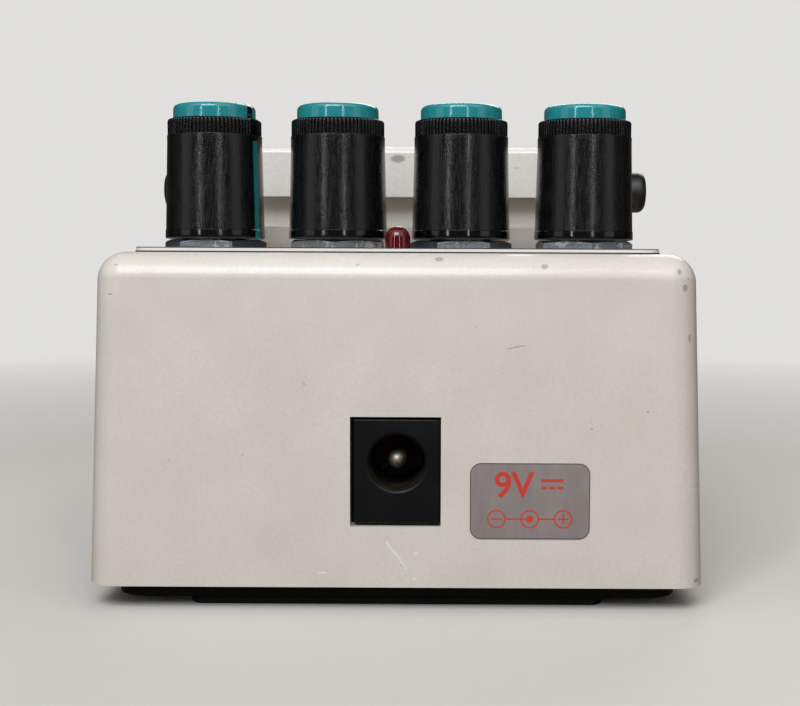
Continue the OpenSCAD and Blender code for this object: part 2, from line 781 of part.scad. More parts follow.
// A knob's coloured cap, slotted for the knob's rib
module knob_cap(x, turn) {
  round_r = 0.7;
  color(teal) translate([x, knob_y, cap_z]) rotate(-turn) difference() {
    rotate_extrude() polygon(concat([[0, 0], [cap_r, 0]],
      arc([cap_r - round_r, cap_h - round_r], round_r, 0, 90, 6), [[0, cap_h]]));
    translate([-pointer_w / 2 - fit_gap, -fit_gap, -eps])
      cube([pointer_w + 2 * fit_gap, cap_r + eps, cap_h + 2 * eps]);
  }
}

module level_cap() { knob_cap(level_x, level_turn); }

module feedback_cap() { knob_cap(feedback_x, feedback_turn); }

module time_cap() { knob_cap(time_x, time_turn); }

module mode_cap() { knob_cap(mode_x, mode_turn); }

// Treadle

// The blended outer form: a wedge that is deeper round the hinge
module treadle_solid() {
  rear_r = 1;
  front_r = 2.6;
  foot_r = 1.2;
  tip_z = top_z(tip_y) - front_r / cos(treadle_slope) - front_r * tan(treadle_slope);
  lip_c = lip_z - rear_r / cos(treadle_slope) - rear_r * tan(treadle_slope);
  hull() for (side = [-1, 1]) {
    treadle_corner(side, lip_y - rear_r, lip_c, rear_r);
    treadle_corner(side, tip_y + front_r, tip_z, front_r);
    treadle_foot(side, lip_y - foot_r, skirt_at(lip_y), foot_r);
    treadle_foot(side, tip_y + foot_r, skirt_z, foot_r);
  }
}

module treadle_corner(side, y, z, r) {
  translate([side * (half_w(z) - shoulder - r), y, z]) sphere(r = r, $fn = blend_fn);
}

module treadle_foot(side, y, z, r) {
  translate([side * (half_w(z) - shoulder - r), y, z]) cylinder(r = r, h = 0.01, $fn = blend_fn);
}

module treadle_hollow() {
  tip = tip_y + skirt_t;
  rear = lip_y - skirt_t;
  under = treadle_t / cos(treadle_slope);
  intersection() {
    tapered(shoulder + skirt_t, case_z, lip_z);
    side_profile([[tip, case_z], [tip, top_z(tip) - under], [rear, top_z(rear) - under],
      [rear, lip_z - lip_h], [rear_y, lip_z - lip_h], [rear_y, case_z]]);
  }
}

module treadle() {
  color(cream) difference() {
    union() {
      difference() {
        treadle_solid();
        treadle_hollow();
      }
      intersection() {
        on_treadle(thumb_u)
          sunk_notch(notch_r + notch_wall, treadle_t / 2, seat_n + seat_t, thumb_front);
        side_profile([[tip_y + eps, case_z], [tip_y + eps, lip_z], [lip_y, lip_z], [lip_y, case_z]]);
      }
      on_treadle(spring_u, spring_x) sunk(spring_r - wire_d / 2 - pass_gap, treadle_t / 2, treadle_t + 2);
    }
    on_treadle(thumb_u) {
      sunk_notch(notch_r, -lip_h, seat_n, 2 * thumb_front);
      sunk(guide_r + fit_gap, 0, seat_n + seat_t + eps);
    }
    on_treadle(pad_back) translate([0, -pad_l / 2, -pad_sunk])
      linear_extrude(height = pad_t) rounded_outline(pad_w / 2 + hole_gap, pad_l / 2 + hole_gap, pad_r);
    translate([0, hinge_y, hinge_z]) {
      along_x(hinge_bush_r + fit_gap, -case_w, case_w);
      hw = half_w(hinge_z + boss_r) - deck_inset + treadle_gap;
      along_x(boss_r + pass_gap, -hw, hw);
    }
  }
}

module treadle_pad() {
  color(rubber) on_treadle(pad_back) translate([0, -pad_l / 2, -pad_sunk]) {
    linear_extrude(height = pad_t - pad_step) rounded_outline(pad_w / 2, pad_l / 2, pad_r);
    translate([0, 0, pad_t - pad_step]) linear_extrude(height = pad_step)
      rounded_outline(pad_w / 2 - pad_step, pad_l / 2 - pad_step, pad_r - pad_step);
  }
}

module guide_bush() {
  color(ink) on_treadle(thumb_u) difference() {
    union() {
      sunk(guide_r + 1.2, seat_n - guide_flange_t, seat_n);
      sunk(guide_r, seat_n - guide_flange_t, seat_n + seat_t);
    }
    sunk(shoulder_r + pass_gap, 0, seat_n + seat_t + eps);
  }
}

// Hinge

hinge_bush_r = hinge_r + 0.8;
bush_x = half_w(hinge_z - bush_head_r) - shoulder + fit_gap;
bush_inner_x = half_w(hinge_z) - shoulder - skirt_t - treadle_gap / 2;
hinge_half = bush_x + 0.8;

// A nylon bush in each cheek of the treadle, its head closed over the shaft's end
module hinge_bushes() {
  rounding = bush_head_t * 0.45;
  shank = bush_x - bush_inner_x;
  hole = hinge_half + 0.2 - bush_inner_x;
  color(ink) for (side = [0, 1]) mirror([side, 0, 0]) translate([bush_inner_x, hinge_y, hinge_z])
    rotate([0, 90, 0]) difference() {
      rotate_extrude() polygon(concat(
        [[0, 0], [hinge_bush_r, 0], [hinge_bush_r, shank], [bush_head_r, shank]],
        arc([bush_head_r - rounding, shank + bush_head_t - rounding], rounding, 0, 90, 9),
        [[0, shank + bush_head_t]]));
      translate([0, 0, -eps]) cylinder(r = hinge_r + run_gap, h = hole + eps);
    }
}

module hinge_shaft() {
  color(steel) translate([0, hinge_y, hinge_z]) along_x(hinge_r, -hinge_half, hinge_half);
}

// Switch and spring

module switch_pusher() {
  color(rubber) on_treadle(switch_u, switch_x) {
    sunk(pusher_r, treadle_t, treadle_t + pusher_h - 0.6);
    translate([0, 0, -treadle_t - pusher_h]) cylinder(r1 = pusher_r - 0.6, r2 = pusher_r, h = 0.6);
  }
}

module footswitch() {
  color(ink) on_treadle(switch_u, switch_x) difference() {
    translate([-switch_w / 2, -switch_w / 2, -switch_n - switch_h]) cube([switch_w, switch_w, switch_h]);
    sunk(plunger_r + run_gap, 0, switch_n + switch_h - 1);
  }
}

module footswitch_plunger() {
  stroke = (switch_u - hinge_u) * sin(press);
  color("#d8d5cc") on_treadle(switch_u, switch_x)
    sunk(plunger_r, plunger_n, switch_n + switch_h - 1 - stroke - 0.5);
}

// The spring is one tube wound on a helix, from its seat in the deck to the treadle's underside
spring_sides = 6;
spring_rings = 8;
spring_low = -spring_n + wire_d / 2 + 0.1;
spring_high = -treadle_t - wire_d / 2 - 0.3;
spring_steps = spring_turns * spring_rings;
function coil_point(i, j) =
  let (a = 360 * i / spring_rings, b = 360 * j / spring_sides)
  let (r = spring_r + wire_d / 2 * cos(b))
  [r * cos(a), r * sin(a), spring_low + (spring_high - spring_low) * i / spring_steps + wire_d / 2 * sin(b)];
spring_pitch = (spring_high - spring_low) / spring_turns;
echo("least gap between the spring's turns", spring_pitch - wire_d);

module treadle_spring() {
  points = [for (i = [0:spring_steps], j = [0:spring_sides - 1]) coil_point(i, j)];
  first = [for (j = [0:spring_sides - 1]) j];
  last = [for (j = [spring_sides - 1:-1:0]) spring_steps * spring_sides + j];
  sides = [for (i = [0:spring_steps - 1], j = [0:spring_sides - 1], k = [0, 1])
    let (a = i * spring_sides + j, b = i * spring_sides + (j + 1) % spring_sides)
    k == 0 ? [a, a + spring_sides, b] : [b, a + spring_sides, b + spring_sides]];
  fans = [for (j = [1:spring_sides - 2], f = [first, last]) [f[0], f[j], f[j + 1]]];
  color(steel) on_treadle(spring_u, spring_x) polyhedron(points, concat(sides, fans));
}

// Thumbscrew

module thumbscrew() {
  slot_w = 1.2;
  slot_d = 1.2;
  grips = 30;
  color(ink) on_treadle(thumb_u) difference() {
    union() {
      translate([0, 0, -head_n]) linear_extrude(height = thumb_h - 0.5) polygon(ribbed(thumb_r, grips, 0.35));
      translate([0, 0, thumb_h - 0.5 - head_n]) cylinder(r1 = thumb_r - 0.5, r2 = thumb_r - 1, h = 0.5);
      sunk(shoulder_r, head_n - eps, well_n - pass_gap);
      sunk(thread_r, head_n, well_n - pass_gap + thread_l);
    }
    translate([-thumb_r - eps, -slot_w / 2, thumb_h - head_n - slot_d])
      cube([2 * thumb_r + 2 * eps, slot_w, slot_d + eps]);
  }
}

module thumb_washer() {
  color(steel) on_treadle(thumb_u) difference() {
    sunk(thumb_r - 0.3, washer_n - washer_t, washer_n);
    sunk(shoulder_r + run_gap, 0, washer_n + eps);
  }
}

module thumb_insert() {
  color(brass) on_treadle(thumb_u) difference() {
    sunk(insert_r, well_n, well_n + thread_l + 0.5);
    sunk(thread_r + run_gap, 0, well_n + thread_l + 1);
  }
}

// Sockets

module phone_jack() {
  body_z = jack_body_w;
  back = jack_end - jack_l - jack_bottom;
  translate([0, jack_y, jack_z]) difference() {
    union() {
      translate([back, -jack_body_w / 2, -body_z / 2]) cube([jack_inner - back, jack_body_w, body_z]);
      along_x(jack_bushing_r, jack_inner - eps, jack_end);
    }
    along_x(jack_r, jack_end - jack_l, jack_end + eps);
  }
}

module input_jack() { color(ink) phone_jack(); }

module output_jack() { color(ink) mirror([1, 0, 0]) phone_jack(); }

module jack_washers() {
  color(steel) for (side = [0, 1]) mirror([side, 0, 0]) translate([0, jack_y, jack_z]) difference() {
    along_x(jack_nut_r, jack_face, jack_face + jack_washer_t);
    along_x(jack_bushing_r + fit_gap, 0, case_w);
  }
}

module jack_nuts() {
  color(steel) for (side = [0, 1]) mirror([side, 0, 0])
    translate([jack_face + jack_washer_t, jack_y, jack_z]) rotate([0, 90, 0]) rotate(12)
      hex_nut(jack_nut_af, jack_nut_h, jack_bushing_r + fit_gap);
}

// The power socket: a block that sits to one side of its opening, with a flange behind the wall
module power_socket() {
  flange = 1.6;
  inside = half_d(power_z + power_h) - wall - run_gap;
  color(ink) difference() {
    union() {
      translate([power_x - power_w / 2 + power_slack, power_y - power_depth, power_z + power_slack])
        cube([power_w - 2 * power_slack, power_depth, power_h - 2 * power_slack]);
      translate([-power_w / 2 - 1.5, inside - flange, power_z - 1])
        cube([power_w + 3, flange, power_h + 2]);
    }
    translate([power_x, power_y, power_hole_z]) rotate([90, 0, 0]) {
      translate([0, 0, -eps]) cylinder(r = power_r, h = power_hole_l + eps);
      translate([0, 0, -eps]) cylinder(r1 = power_r + 0.3 + eps, r2 = power_r, h = 0.3 + eps);
      cylinder(r = pin_r + fit_gap, h = power_depth + eps);
    }
  }
}

module power_pin() {
  color(brass) translate([power_x, power_y, power_hole_z]) rotate([90, 0, 0]) {
    translate([0, 0, power_pin_in]) cylinder(r = pin_r, h = power_depth - power_pin_in);
    translate([0, 0, power_pin_in]) sphere(r = pin_r);
    translate([0, 0, power_hole_l - 0.6]) cylinder(r = pin_r + 0.9, h = 0.6);
  }
}

// Battery and board

battery_x = -bay_hw + bay_play;

module battery() {
  mid = (bay_y0 + bay_y1) / 2;
  post = battery_w / 4;
  color("#2b2f36") {
    translate([battery_x, mid, bay_z + battery_t / 2]) rotate([90, 0, 90])
      linear_extrude(height = battery_l) rounded_outline(battery_w / 2, battery_t / 2, 2);
    for (y = [-post, post]) translate([0, mid + y, bay_z + battery_t / 2])
      along_x(terminal_r, battery_x + battery_l - eps, battery_x + battery_l + terminal_h);
  }
}

module battery_snap() {
  mid = (bay_y0 + bay_y1) / 2;
  post = battery_w / 4;
  color(ink) translate([0, mid, bay_z + battery_t / 2]) difference() {
    translate([battery_x + battery_l, snap_inset - battery_w / 2, -snap_h / 2])
      cube([snap_t, battery_w - 2 * snap_inset, snap_h]);
    for (y = [-post, post]) translate([0, y, 0])
      along_x(terminal_r + run_gap, battery_x, battery_x + battery_l + terminal_h + run_gap);
  }
}

module main_board() {
  color("#2f6b3a") difference() {
    translate([-board_w / 2, board_y0, board_z]) cube([board_w, board_y1 - board_y0, board_t]);
    for (x = [-1, 1], y = board_post_ys) translate([x * board_post_x, y, board_z - eps])
      cylinder(r = board_screw_r + hole_gap, h = board_t + 2 * eps);
  }
}

module chip(x, y, w, l) {
  translate([x - w / 2, y - l / 2, board_z + board_t]) difference() {
    cube([w, l, chip_h]);
    translate([w / 2, l, chip_h - 0.5]) cylinder(r = chip_dent_r, h = 1);
  }
}

// The delay chip, its four memories and the amplifiers
module board_chips() {
  mid = (bay_y0 + bay_y1) / 2;
  color(ink) {
    chip(0, mid, delay_w, delay_l);
    for (x = [-1, 1], y = [-1, 1])
      chip(x * memory_x, mid + y * (memory_l + memory_gap) / 2, memory_w, memory_l);
    for (x = [-1:1]) chip(x * memory_x, hinge_y, amp_w, amp_l);
  }
}

module board_capacitors() {
  color("#25406f") for (i = [-2:2], y = [jack_y, jack_y + can_row])
    translate([i * can_pitch, y, board_z + board_t]) cylinder(r = can_r, h = can_h);
}

module board_screws() {
  color(steel) for (x = [-1, 1], y = board_post_ys)
    translate([x * board_post_x, y, board_z - board_head_h]) {
      cylinder(r = board_head_r, h = board_head_h);
      cylinder(r = board_screw_r, h = board_head_h + board_t + board_screw_l);
    }
}

enclosure();
control_plate();
base_plate();
rubber_base();
base_screws();
status_lamp();
power_socket();
power_pin();
input_jack();
output_jack();
jack_washers();
jack_nuts();
pot_nuts();
level_pot();
feedback_pot();
time_pot();
mode_switch();
level_shaft();
feedback_shaft();
time_shaft();
mode_shaft();
level_knob();
feedback_knob();
time_knob();
mode_knob();
level_cap();
feedback_cap();
time_cap();
mode_cap();
treadle();
treadle_pad();
guide_bush();
hinge_bushes();
hinge_shaft();
switch_pusher();
treadle_spring();
thumbscrew();
thumb_washer();
thumb_insert();
footswitch();
footswitch_plunger();
battery();
battery_snap();
main_board();
board_chips();
board_capacitors();
board_screws();
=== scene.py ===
import bmesh
import bpy
import math
from mathutils import Matrix, Vector


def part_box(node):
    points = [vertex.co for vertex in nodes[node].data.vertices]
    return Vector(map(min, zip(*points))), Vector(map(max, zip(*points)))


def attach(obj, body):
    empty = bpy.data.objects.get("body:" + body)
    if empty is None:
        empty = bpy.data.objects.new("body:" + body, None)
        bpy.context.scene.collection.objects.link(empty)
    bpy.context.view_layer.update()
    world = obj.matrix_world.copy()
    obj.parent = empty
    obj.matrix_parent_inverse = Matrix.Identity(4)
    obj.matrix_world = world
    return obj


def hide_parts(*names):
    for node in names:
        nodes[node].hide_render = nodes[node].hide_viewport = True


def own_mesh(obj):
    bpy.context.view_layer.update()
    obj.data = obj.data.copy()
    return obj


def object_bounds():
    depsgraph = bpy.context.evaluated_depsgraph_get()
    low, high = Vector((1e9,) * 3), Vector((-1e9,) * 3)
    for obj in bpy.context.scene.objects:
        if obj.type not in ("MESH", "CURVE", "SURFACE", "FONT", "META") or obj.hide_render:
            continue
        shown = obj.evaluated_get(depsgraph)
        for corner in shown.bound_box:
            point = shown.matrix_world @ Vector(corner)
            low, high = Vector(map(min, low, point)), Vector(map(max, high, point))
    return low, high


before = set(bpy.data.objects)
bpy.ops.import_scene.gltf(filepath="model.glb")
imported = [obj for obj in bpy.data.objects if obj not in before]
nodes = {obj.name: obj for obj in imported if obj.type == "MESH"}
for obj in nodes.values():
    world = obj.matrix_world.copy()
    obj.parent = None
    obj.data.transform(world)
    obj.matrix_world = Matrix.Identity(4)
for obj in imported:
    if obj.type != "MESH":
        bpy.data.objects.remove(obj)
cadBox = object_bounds()
scene = bpy.context.scene
mm = 0.001
tiny = dict(weld=0.0005, merge=0.002, touch=0.001)  # mm: points of a lathe, points of a CAD mesh, equal heights
print("frame loaded with", len(nodes), "nodes")


def linear(code):  # sRGB hex to linear colour
    parts = [int(code[i:i + 2], 16) / 255 for i in (1, 3, 5)]
    return [c / 12.92 if c <= 0.04045 else ((c + 0.055) / 1.055) ** 2.4 for c in parts] + [1.0]


def perMm(size):  # texture scale for a feature of this many millimetres
    return 1000 / size


def addNode(tree, kind, inputs=None, **settings):  # a node with its settings, values and links
    node = tree.nodes.new(kind)
    for key, value in settings.items():
        setattr(node, key, value)
    for key, value in (inputs or {}).items():
        if isinstance(value, bpy.types.NodeSocket):
            tree.links.new(value, node.inputs[key])
        else:
            node.inputs[key].default_value = value
    return node


def startMaterial(name, **values):
    mat = bpy.data.materials.new(name)
    mat.use_nodes = True
    tree = mat.node_tree
    shader = tree.nodes["Principled BSDF"]
    for key, value in values.items():
        shader.inputs[key.replace("_", " ")].default_value = value
    coords = addNode(tree, "ShaderNodeTexCoord").outputs["Object"]
    return mat, tree, shader, coords


def mixColours(tree, factor, first, second):
    node = addNode(tree, "ShaderNodeMix", {0: factor, 6: first, 7: second}, data_type="RGBA", clamp_factor=True)
    return node.outputs[2]


def combine(tree, operation, *values, kind="Math"):  # one maths node over numbers, vectors or links
    return addNode(tree, "ShaderNode" + kind, dict(enumerate(values)), operation=operation).outputs


def spread(tree, value, low, high, toLow=0.0, toHigh=1.0):  # carries a value from one span to another
    return addNode(tree, "ShaderNodeMapRange", {"Value": value, "From Min": low, "From Max": high,
                                                "To Min": toLow, "To Max": toHigh}).outputs[0]


def addNoise(tree, coords, size, detail, roughness=0.5):  # cloudy pattern, its features this many millimetres
    return addNode(tree, "ShaderNodeTexNoise", {"Vector": coords, "Scale": perMm(size), "Detail": detail,
                                                "Roughness": roughness}).outputs


def addBump(tree, shader, height, depth, strength):
    bump = addNode(tree, "ShaderNodeBump", {"Height": height, "Distance": depth * mm, "Strength": strength})
    tree.links.new(bump.outputs["Normal"], shader.inputs["Normal"])


# Die-cast alloy under cream stove enamel: satin, with a fine pearl grain and grey chips where it has been knocked
# Pattern sizes are in mm, and the pearl flakes are coarser than real so they show
enamel = dict(base="#d6cfc6", shade="#cdc5bb", pore="#b9b4ac", dirt="#8f877c", flake="#f1eee8", chip="#a19e98",
              scuff="#ece8e1", grain=0.35, mottle=9.0, dirtSize=1.6, flakeSize=0.3, ragged=0.7, chipWobble=0.35,
              scuffWobble=0.5, roughness=0.3, bump=0.03)


def chipMask(tree, coords, spots, wobble):  # spots of place and half sizes in mm, with ragged outlines
    ragged = addNoise(tree, coords, enamel["ragged"], 3.0)["Color"]
    pushed = combine(tree, "SUBTRACT", ragged, (0.5, 0.5, 0.5), kind="VectorMath")[0]
    moved = combine(tree, "MULTIPLY_ADD", pushed, (wobble * mm,) * 3, coords, kind="VectorMath")[0]
    mask = None
    for place, halfSizes in spots:
        local = combine(tree, "SUBTRACT", moved, [p * mm for p in place], kind="VectorMath")[0]
        sized = combine(tree, "MULTIPLY", local, [1 / (h * mm) for h in halfSizes], kind="VectorMath")[0]
        reach = combine(tree, "LENGTH", sized, kind="VectorMath")["Value"]
        inside = spread(tree, reach, 1.3, 0.75)
        mask = inside if mask is None else combine(tree, "MAXIMUM", mask, inside)[0]
    return mask


def makeEnamel(name, spots, scuffs=(), base=enamel["base"], shade=enamel["shade"]):
    e = enamel
    mat, tree, shader, coords = startMaterial(name, Coat_Weight=0.2, Coat_Roughness=0.08, Specular_IOR_Level=0.35)
    grain = addNoise(tree, coords, e["grain"], 2.0)["Fac"]
    mottle = addNoise(tree, coords, e["mottle"], 4.0)["Fac"]
    paint = mixColours(tree, spread(tree, mottle, 0.3, 0.75), linear(base), linear(shade))
    paint = mixColours(tree, spread(tree, grain, 0.35, 0.7, 0.0, 0.22), paint, linear(e["pore"]))
    dirt = addNoise(tree, coords, e["dirtSize"], 5.0)["Fac"]
    paint = mixColours(tree, spread(tree, dirt, 0.735, 0.76, 0.0, 0.6), paint, linear(e["dirt"]))
    cells = addNode(tree, "ShaderNodeTexVoronoi", {"Vector": coords, "Scale": perMm(e["flakeSize"])}).outputs
    bright = spread(tree, cells["Color"], 0.6, 0.72)
    flakes = combine(tree, "MULTIPLY", bright, spread(tree, cells["Distance"], 0.45, 0.1, 0.0, 0.16))[0]
    paint = mixColours(tree, flakes, paint, linear(e["flake"]))
    if scuffs:
        rubbed = spread(tree, chipMask(tree, coords, scuffs, e["scuffWobble"]), 0.0, 1.0, 0.0, 0.55)
        paint = mixColours(tree, rubbed, paint, linear(e["scuff"]))
    chips = chipMask(tree, coords, spots, e["chipWobble"])
    paint = mixColours(tree, chips, paint, linear(e["chip"]))
    tree.links.new(paint, shader.inputs["Base Color"])
    rough = spread(tree, mottle, 0.3, 0.7, e["roughness"] - 0.05, e["roughness"] + 0.08)
    tree.links.new(rough, shader.inputs["Roughness"])
    height = combine(tree, "SUBTRACT", combine(tree, "MULTIPLY", grain, 0.8)[0], chips)[0]
    addBump(tree, shader, height, e["bump"], 0.6)
    return mat


# Knocks and rubs on the rear wall: x, z, half width and half height in mm
wallChips = [(-4.95, 41.3, 0.5, 0.25), (-17.2, 40.5, 0.4, 0.28), (-32.8, 40.0, 0.26, 0.34),
             (-33.45, 38.1, 0.28, 0.42), (-33.9, 39.2, 0.12, 0.1), (-34.2, 32.25, 0.16, 0.45),
             (-35.5, 3.65, 0.35, 0.26), (-22.8, 21.7, 0.12, 0.1), (-29.35, 23.75, 0.14, 0.1),
             (32.4, 40.5, 0.26, 0.08), (33.05, 37.1, 0.2, 0.1), (-9.2, 33.5, 0.1, 0.08)]
wallChips += [(-13.2 - 0.34 * i, 31.0 + 0.07 * i, 0.24, 0.06) for i in range(6)]  # short scratch
wallScuffs = [(-2.25, 3.95, 0.26, 0.22), (-2.4, 7.0, 0.14, 0.22), (8.5, 4.6, 0.5, 0.16)]
wallScuffs += [(0.95 - 0.18 * i, 8.2 - 0.24 * i, 0.11, 0.2) for i in range(13)]  # long slanting rub
wallDepths = dict(chipY=63.9, chipReach=4.0, scuffY=64.4, scuffReach=1.0)
caseEnamel = makeEnamel(
    "creamEnamelCase",
    [((x, wallDepths["chipY"], z), (a, wallDepths["chipReach"], b)) for x, z, a, b in wallChips],
    [((x, wallDepths["scuffY"], z), (a, wallDepths["scuffReach"], b)) for x, z, a, b in wallScuffs])
# The treadle's enamel is painted lighter than the case's, a painted highlight for more light on its rear lip, and it
# has knocks of its own
treadleChips = [((0.9, 34.5, 54.9), (0.95, 0.6, 0.5)), ((-15.45, 34.5, 53.7), (0.5, 0.6, 0.06)),
                ((14.0, -63.4, 27.0), (0.7, 0.8, 0.5)), ((-22.0, -63.0, 30.5), (0.9, 0.8, 0.35))]
treadleEnamelPaintedLight = makeEnamel("creamEnamelTreadlePaintedLight", treadleChips, base="#e4dfd8", shade="#ddd7cf")

# Moulded black ABS, drawn by its tool: satin with fine streaks up the side that break up the light
streaked = dict(base="#040405", streak="#0f1113", width=0.19, length=2.0, grain=0.12, bump=0.01)


def makeStreakedPlastic(name, low, high):
    s = streaked
    mat, tree, shader, coords = startMaterial(name, IOR=1.5, Specular_IOR_Level=0.4, Coat_Weight=0.12,
                                              Coat_Roughness=0.3)
    drawn = addNode(tree, "ShaderNodeMapping", {"Vector": coords, "Scale": (1, 1, s["width"] / s["length"])})
    lines = addNoise(tree, drawn.outputs[0], s["width"], 3.0)["Fac"]
    grain = addNoise(tree, coords, s["grain"], 2.0)["Fac"]
    both = combine(tree, "ADD", lines, grain)[0]
    colour = mixColours(tree, spread(tree, both, 0.8, 1.25), linear(s["base"]), linear(s["streak"]))
    tree.links.new(colour, shader.inputs["Base Color"])
    tree.links.new(spread(tree, both, 0.75, 1.25, low, high), shader.inputs["Roughness"])
    addBump(tree, shader, both, s["bump"], 0.8)
    return mat


knobPlastic = makeStreakedPlastic("blackAbsStreaked", 0.1, 0.38)
patchSizes = dict(plastic=4.0, metal=2.2, rubber=6.0)  # mm across a scuffed, worn or dusty patch


def makePlastic(name, base, scuff, roughness, grain, coat=0.0, depth=0.008, wear=0.5, sheen=0.5):
    mat, tree, shader, coords = startMaterial(name, IOR=1.5, Coat_Weight=coat, Coat_Roughness=0.08,
                                              Specular_IOR_Level=sheen)
    fine = addNoise(tree, coords, grain, 3.0)["Fac"]
    patch = addNoise(tree, coords, patchSizes["plastic"], 6.0, 0.65)["Fac"]
    colour = mixColours(tree, spread(tree, patch, 0.5, 0.78, 0.0, wear), linear(base), linear(scuff))
    tree.links.new(colour, shader.inputs["Base Color"])
    rough = spread(tree, patch, 0.3, 0.75, roughness - 0.05, roughness + 0.1)
    tree.links.new(rough, shader.inputs["Roughness"])
    addBump(tree, shader, fine, depth, 0.5)
    return mat


# Polished band at the knob's foot: the same plastic straight off a mirror-finished tool
bandPlastic = makePlastic("blackAbsPolished", "#050506", "#0e0f11", 0.12, 0.5, depth=0.003)
# Ribbed ring: bare moulded plastic, glossier on the crests
ringPlastic = makePlastic("blackAbsRibbed", "#050506", "#0d0e10", 0.13, 0.4, depth=0.003, sheen=0.25)
# Teal ABS, moulded glossy: sharp bright highlights over an even colour
tealPlastic = makePlastic("tealAbsGloss", "#1f8388", "#249397", 0.14, 0.6, coat=0.25, depth=0.003, wear=0.6)
# Teal inlay line in the knob's side: a little duller than the cap
tealInk = makePlastic("tealLinePaint", "#0b6e66", "#0f7a72", 0.35, 0.4, depth=0.003)
# Glass-filled nylon in the power socket and jacks: satin black, grey where it has been scuffed
nylon = makePlastic("blackNylonMoulded", "#060709", "#101115", 0.4, 0.3, wear=0.7, sheen=0.22)
# The same nylon down in the socket's bore, brown with dust
dustyNylon = makePlastic("dustyNylonBore", "#17120b", "#4a3a22", 0.6, 0.3, wear=0.8, sheen=0.2)
# Acetal hinge bushes: waxy black with a soft sheen
acetal = makePlastic("blackAcetalBush", "#121112", "#2a2826", 0.34, 0.5, wear=0.8)
# Dark film under the control plate's edge, a painted shadow of the gap under the plate: dull, and a little grey in
# patches
plateShadowFilm = makePlastic("darkPaintedShadowFilm", "#1a1917", "#2c2a27", 0.7, 0.4, sheen=0.2)
# Dark band round the rounding of the control plate's top edge
plateEdgeDarkBand = makePlastic("darkPlateEdgeBand", "#1c1b1a", "#34322f", 0.5, 0.4, sheen=0.3)
# Epoxy chip cases on the board
chipEpoxy = makePlastic("chipEpoxyMoulded", "#17181a", "#2b2c2f", 0.5, 0.25)
# Shrunk sleeve of the capacitors
sleeve = makePlastic("blueShrunkSleeve", "#1f3a72", "#2b4c8a", 0.3, 0.6)
# Battery's printed steel shell
batteryShell = makePlastic("printedBatteryShell", "#20242c", "#343a45", 0.28, 1.2)
# Black stove enamel on the base plate
blackEnamel = makePlastic("blackEnamelSteel", "#060505", "#0f0e0d", 0.5, 0.5, wear=0.6, sheen=0.15)
# Brass collar deep in the power socket, under a dull brown-red film of oxide
collarBrass = makePlastic("tarnishedBrassCollar", "#4a1a10", "#64281a", 0.6, 0.25, sheen=0.1)
# Cut edge of the foil label, dark with picked-up dirt
foilRim = makePlastic("dirtyFoilEdge", "#5d5455", "#494142", 0.6, 0.4, sheen=0.3)
# Screen ink on the label: matt red, a little worn
labelInk = makePlastic("redScreenInk", "#c4382a", "#b0524a", 0.5, 0.3, wear=0.5)
# Glass-fibre laminate under solder mask
laminate = makePlastic("greenSolderMask", "#1f5a2e", "#2c6d3b", 0.35, 0.8)


def makeMetal(name, base, worn, roughness, grain, wearLow=0.62, wearHigh=0.7, stretch=(1, 1, 1), metallic=1.0):
    mat, tree, shader, coords = startMaterial(name, Metallic=metallic)
    drawn = addNode(tree, "ShaderNodeMapping", {"Vector": coords, "Scale": stretch})
    lines = addNoise(tree, drawn.outputs[0], grain, 4.0)["Fac"]
    wear = addNoise(tree, coords, patchSizes["metal"], 6.0, 0.7)["Fac"]
    toned = mixColours(tree, spread(tree, lines, 0.3, 0.7, 0.0, 0.35), linear(base), linear(worn))
    colour = mixColours(tree, spread(tree, wear, wearLow, wearHigh), toned, linear(worn))
    tree.links.new(colour, shader.inputs["Base Color"])
    rough = spread(tree, lines, 0.3, 0.7, roughness - 0.07, roughness + 0.08)
    tree.links.new(rough, shader.inputs["Roughness"])
    addBump(tree, shader, lines, 0.01, 0.4)
    return mat


# Dark zinc plate on the hex nuts, bright where a spanner has chipped it
darkZinc = makeMetal("darkZincPlate", "#3c4145", "#6f767b", 0.42, 0.35, 0.58, 0.64, metallic=0.75)
# The same plate on the nuts' rear facets, painted paler as a painted highlight on the facets that face the rear,
# with scuffs
zincPaintedLitFacets = makeMetal("zincPlatePaintedLitFacets", "#5f6264", "#acaeb1", 0.42, 0.3, 0.54, 0.6, metallic=0.7)
# Bright nickel on the jack nuts, washers and shafts
nickel = makeMetal("brightNickelPlate", "#b3b4b2", "#8d8c88", 0.26, 0.3)
# Spring steel wire, drawn and oiled
springSteel = makeMetal("drawnSpringSteel", "#8e9296", "#6a6d70", 0.3, 0.2)
# Turned brass, tarnished brown
brass = makeMetal("turnedBrass", "#9a7a4a", "#6a4a2c", 0.34, 0.25, 0.5, 0.68)
# Plating of the power pin, rubbed through by plugs
pinPlate = makeMetal("rubbedPinPlate", "#a0978a", "#5a4a3c", 0.52, 0.3, 0.55, 0.66)
# Lacquered aluminium sheet of the control plate: pale, with fine brush lines across
plateSheet = makeMetal("lacqueredAluminiumSheet", "#e4e1dc", "#cfcbc4", 0.38, 0.25, 0.6, 0.75, (0.04, 1, 1), 0.15)


def makeRubber(name, base, dust, pebble, depth):
    mat, tree, shader, coords = startMaterial(name, Roughness=0.82, Specular_IOR_Level=0.25)
    cells = addNode(tree, "ShaderNodeTexVoronoi", {"Vector": coords, "Scale": perMm(pebble)}, feature="SMOOTH_F1")
    valley = cells.outputs["Distance"]
    dusty = addNoise(tree, coords, patchSizes["rubber"], 6.0)["Fac"]
    colour = mixColours(tree, spread(tree, dusty, 0.45, 0.8, 0.0, 0.7), linear(base), linear(dust))
    # the valleys between the pebbles are darkened towards black, a painted shade
    colour = mixColours(tree, spread(tree, valley, 0.2, 0.7, 0.0, 0.4), colour, linear("#0a0a0a"))
    tree.links.new(colour, shader.inputs["Base Color"])
    addBump(tree, shader, spread(tree, valley, 0.0, 0.7, 1.0, 0.0), depth, 0.9)
    return mat


